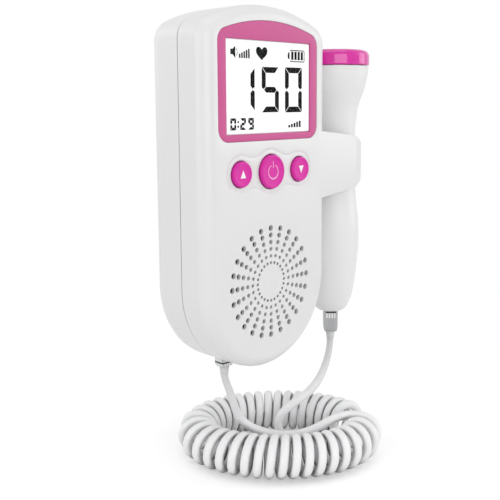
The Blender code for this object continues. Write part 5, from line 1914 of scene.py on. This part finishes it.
@dataclass
class Probe:
    """The probe: a turned housing with a swelling grip and a coloured cap."""

    layout: Layout = LAYOUT
    head_radius: float = 0.0156
    neck_radius: float = 0.0105
    bulge_radius: float = 0.0119
    end_radius: float = 0.0054
    neck_bottom: float = 0.027988
    neck_top: float = 0.060888
    joint: float = 0.0820
    top: float = 0.0882
    cap_edge: float = 0.0026
    roof: float = 0.0007
    wall: float = 0.0020
    mouth_radius: float = 0.0045
    steps: int = 128

    def knots(self) -> Array:
        """Radius and height down the outside: cone shares from the head, then grip and tail shares."""
        head, neck, end = self.head_radius - self.layout.gap, self.neck_radius, self.end_radius
        low, drop = self.neck_bottom, self.neck_bottom - self.layout.probe_bottom
        cone = np.array([(0.18, 0.94), (0.30, 0.83), (0.44, 0.70), (0.62, 0.40), (0.80, 0.14), (1, 0)])
        bulge = np.array([(0, 0), (0.09, 0.28), (0.24, 0.92), (0.34, 1.0), (0.44, 0.97)])
        tail = np.array([(0.56, 0.92), (0.74, 0.76), (0.875, 0.56), (0.95, 0.34), (0.985, 0.15), (1, 0)])
        runs = (
            (cone, neck, head, self.joint, self.joint - self.neck_top),
            (bulge, neck, self.bulge_radius, low, drop), (tail, end, self.bulge_radius, low, drop),
        )
        return np.concatenate([
            np.stack([small + run[:, 1] * (large - small), level - run[:, 0] * fall], axis=1)
            for run, small, large, level, fall in runs
        ])

    def housing(self) -> None:
        """The white housing: rim under the cap, a fine step, the cone, the neck, the grip and the tail."""
        lay, wall, mouth_radius = self.layout, self.wall, self.mouth_radius
        head, shoulder, low = self.head_radius - lay.gap, self.joint - lay.gap, lay.probe_bottom
        rim = [(head - 0.0002, shoulder), (head, shoulder - 0.0002), (head, shoulder - 0.0013),
               (head - 0.00012, shoulder - 0.0015), (head - 0.00014, shoulder - 0.0018)]
        rows = natural_spline(np.concatenate([[rim[-1]], self.knots()]), 90)[1:]
        outside = np.concatenate([rim, rows, [(self.end_radius - 0.0004, low), (mouth_radius, low)]])
        inside = np.concatenate([
            [(mouth_radius + 0.0001, low + wall), (self.end_radius - 0.001, low + wall + 0.001)],
            (rows - [wall, 0])[-12::-6],
            [(head - wall, shoulder - 0.003), (head - wall, shoulder), (head - 0.0002, shoulder)],
        ])
        wide, deep = lay.plug_width / 2 + lay.gap, lay.plug_depth / 2 + lay.gap
        mouth = Outline.rounded(-wide, wide, -deep, deep, 0.0006, 4, 3)
        draft = Draft().grid(mouth.loft([(0, low), (0, low + wall)]))
        for level, radius in ((low, mouth_radius), (low + wall, mouth_radius + 0.0001)):
            draft.sheet(level, Outline.circle(0, 0, radius, self.steps).points, mouth.points)
        draft.points = [points[..., [0, 2, 1]] for points in draft.points]
        for profile in (outside, inside):
            draft.grid(turned(profile, self.steps, (0, 0, 0)))
        draft.moved(set_at((lay.probe_x, lay.probe_y, 0), lay.plug_degrees))
        dress(draft.build("probe_shell"), probe_lit_white, ["probe_housing"], Body.PROBE)

    def cap(self) -> None:
        """The cap: a slightly crowned top, a round shoulder, a plain wall and the spigot inside."""
        wide, edge, top, joint = self.head_radius, self.cap_edge, self.top, self.joint
        turn, flat = np.radians(np.linspace(0, 90, 15)), wide - edge
        crown = np.stack([flat + edge * np.sin(turn), top - edge * (1 - np.cos(turn))], axis=1)
        spigot, roof = wide - self.wall - 3 * self.layout.gap, top - self.roof
        low, inner = joint - 0.0040, spigot - 0.0012
        foot = [(wide, joint + 0.0006), (wide, joint + 0.0003), (wide - 0.0002, joint), (spigot, joint),
                (spigot, low), (inner, low), (inner, roof), (0, roof)]
        profile = np.concatenate([[(0, top), (flat * 0.5, top), (flat * 0.9, top)], crown, foot])
        grid = turned(profile, self.steps, (self.layout.probe_x, self.layout.probe_y, 0))
        dress(Draft().grid(grid).build("probe_cap_dome"), cap_magenta, ["probe_cap"], Body.PROBE)

    def build(self) -> None:
        """Make the housing and the cap."""
        self.housing()
        self.cap()


# ---- inside


@dataclass
class Inside:
    """What lies in the casing and the probe: finer cells, and finishes for the nodes that stay."""

    cell_radius: float = 0.00725
    cell_length: float = 0.0495
    cell_x: float = 0.00755
    cell_y: float = -0.00955
    cell_low: float = 0.0356
    nub: float = 0.0010
    edge: float = 0.0006

    def cells(self) -> None:
        """Two round cells, head to tail: a sleeved can with a stepped nub and a crimped end."""
        r, length, edge, end = self.cell_radius, self.cell_length, self.edge, self.cell_length + self.nub
        profile = np.array([
            (0, end), (0.0024, end), (0.0027, length + 0.0007), (0.0027, length), (0.0050, length),
            (0.0054, length + 0.0002), (r - edge, length + 0.0002), (r - 0.0002, length - 0.0001),
            (r, length - edge), (r, length * 0.5), (r, edge), (r - 0.0002, 0.0002), (r - edge, 0),
            (0.0052, 0), (0.0049, 0.0002), (0, 0.0002),
        ])
        low, high = self.cell_low, self.cell_low + end
        for side in Side:
            name, flipped = "cell_" + side.name.lower(), side is Side.LEFT
            rows = [0, end] + profile * [1, -1] if flipped else profile
            grid = turned(rows, 64, (side.value * self.cell_x, self.cell_y, low))
            wrap = CellWrap(
                name + "_wrap", (0.02, 0.021, 0.024), 0.28, "cell_wrap", low=low, high=high, flipped=flipped,
            )
            dress(Draft().grid(grid).build(name + "_can"), wrap, [name])

    def keep(self) -> None:
        """Finish the CAD nodes that stay as they are."""
        kept = {
            light_panel: "back_light", strip_rubber: "contact_strip", speaker_metal: "speaker",
            cloth_black: "speaker_cloth", foam_black: "speaker_gasket", ceramic: "transducer_disc",
            backing_rubber: "transducer_backing", circuit_green: "main_board probe_board",
            black_plastic: "switch_up switch_power switch_down signal_chip unit_socket probe_socket",
            screw_steel: "board_screw_left_high board_screw_left_low board_screw_right_high "
                         "board_screw_right_low",
            contact_nickel: "contact_bridge contact_plus contact_minus",
        }
        for finish, names in kept.items():
            for name in names.split():
                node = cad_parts[name]
                if not node.material_slots:
                    node.data.materials.append(finish.material())
                for slot in node.material_slots:
                    slot.material = finish.material()
                log.info("%s: kept, in %s", name, finish.name)

    def build(self) -> None:
        """Make the cells and finish the rest."""
        self.cells()
        self.keep()


# ---- studio


@dataclass(frozen=True)
class Softbox:
    """A rectangular lamp turned towards a point."""

    name: str
    place: Point
    target: Point
    width: float
    height: float
    power: float

    def build(self) -> None:
        """Make the lamp."""
        data = bpy.data.lights.new(self.name, "AREA")
        data.shape, data.size, data.size_y, data.energy = "RECTANGLE", self.width, self.height, self.power
        lamp = bpy.data.objects.new(self.name, data)
        lamp.location = self.place
        lamp.rotation_euler = (Vector(self.target) - Vector(self.place)).to_track_quat("-Z", "Y").to_euler()
        bpy.context.scene.collection.objects.link(lamp)


@dataclass
class Studio:
    """Plain pale floor, soft lamps and an even world."""

    floor_z: float = -0.0788
    floor_radius: float = 3.0
    world_grey: float = 0.50
    white: tuple[float, ...] = (1.0, 1.0, 1.0, 1.0)
    lamps: tuple[Softbox, ...] = (
        Softbox("key_lamp", (-0.42, -1.05, 0.24), (0.0, 0.0, 0.01), 0.80, 0.60, 3.6),
        Softbox("top_lamp", (-0.05, -0.15, 1.00), (0.0, 0.0, 0.00), 0.80, 0.80, 1.8),
        Softbox("fill_lamp", (0.88, -0.64, 0.24), (0.0, 0.0, 0.00), 0.50, 0.70, 2.25),
        Softbox("side_lamp", (-1.00, 0.10, 0.30), (0.0, 0.0, 0.02), 0.80, 0.80, 2.4),
        Softbox("back_lamp", (-0.42, 1.05, 0.40), (0.0, 0.0, 0.02), 0.70, 0.80, 1.9),
    )

    def seen(self, w: Wiring) -> Socket:
        """1 to the camera and in gloss and glass, 0 where the rays only light."""
        path = w.node("ShaderNodeLightPath").outputs
        through = w.math("MAXIMUM", path["Is Glossy Ray"], path["Is Transmission Ray"])
        return w.math("MAXIMUM", path["Is Camera Ray"], through)

    def floor(self) -> None:
        """A round floor, which takes the shadow near the middle and is seen as white farther out."""
        reach = self.floor_radius * np.linspace(0, 1, 24)[::-1, None, None] ** 2
        flat = at_depth(reach * directions(full_turn(64)), self.floor_z)
        item = Draft().grid(flat[..., [0, 2, 1]]).build("studio_floor")
        made = bpy.data.materials.new("studio_floor_white")
        w = Wiring.afresh(made)
        seen = self.seen(w)
        diffuse = w.node("ShaderNodeBsdfDiffuse", {"Color": (0.82, 0.82, 0.82, 1.0)})
        own = w.node("ShaderNodeEmission", {"Color": self.white, "Strength": w.math("MULTIPLY", seen, 0.38)})
        near = w.node("ShaderNodeAddShader", {0: diffuse.outputs[0], 1: own.outputs[0]})
        white = w.node("ShaderNodeEmission", {"Color": self.white, "Strength": 1.0})
        place = w.node("ShaderNodeTexCoord").outputs["Object"]
        away = w.node("ShaderNodeVectorMath", {0: place}, operation="LENGTH").outputs["Value"]
        share = w.math("MULTIPLY", w.span(away, 0.20, 0.42), seen)
        mixed = w.node("ShaderNodeMixShader", {0: share, 1: near.outputs[0], 2: white.outputs[0]})
        w.node("ShaderNodeOutputMaterial", {"Surface": mixed.outputs[0]})
        item.data.materials.append(made)

    def world(self) -> None:
        """White to the camera and in gloss and glass, plain grey as light."""
        world = bpy.data.worlds.new("studio_world")
        bpy.context.scene.world = world
        w = Wiring.afresh(world)
        level = w.span(self.seen(w), 0.0, 1.0, self.world_grey, 1.0)
        light = w.node("ShaderNodeBackground", {"Color": self.white, "Strength": level})
        w.node("ShaderNodeOutputWorld", {"Surface": light.outputs[0]})

    def build(self) -> None:
        """Make the floor, the world and the lamps."""
        self.floor()
        self.world()
        for lamp in self.lamps:
            lamp.build()
        bpy.context.scene.view_settings.view_transform = "Standard"
        log.info("studio: %d lamps", len(self.lamps))


def corners(bounds: tuple[Vector, Vector]) -> list[list[float]]:
    """The two corners of a box as plain lists."""
    return [list(corner) for corner in bounds]


def main() -> None:
    """Build every piece in order."""
    logging.basicConfig(level=logging.INFO, format="%(message)s")
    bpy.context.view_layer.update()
    lay = LAYOUT
    StudioCamera().build()
    unit_plug = ModularPlug(
        "unit_plug_shell", "unit_plug", Body.MONITOR, (lay.unit_plug_x, lay.unit_plug_y),
        lay.unit_plug_bottom, 0.0150, -lay.half_width, shadow_band=True,
    ).build()
    probe_plug = ModularPlug(
        "probe_plug_shell", "probe_plug", Body.PROBE, (lay.probe_x, lay.probe_y), lay.probe_bottom - 0.0100,
        0.0170, lay.probe_bottom, lay.plug_degrees,
    ).build()
    CurlyCord().build(unit_plug, probe_plug)
    display, pad, casing = Display(), ButtonPad(), Casing()
    casing.front_shell(display, pad)
    casing.back_shell()
    casing.door()
    casing.screws()
    ProbeClip().build()
    display.build()
    pad.build()
    Probe().build()
    Inside().build()
    Studio().build()
    bpy.context.view_layer.update()


if __name__ == "__main__":
    main()
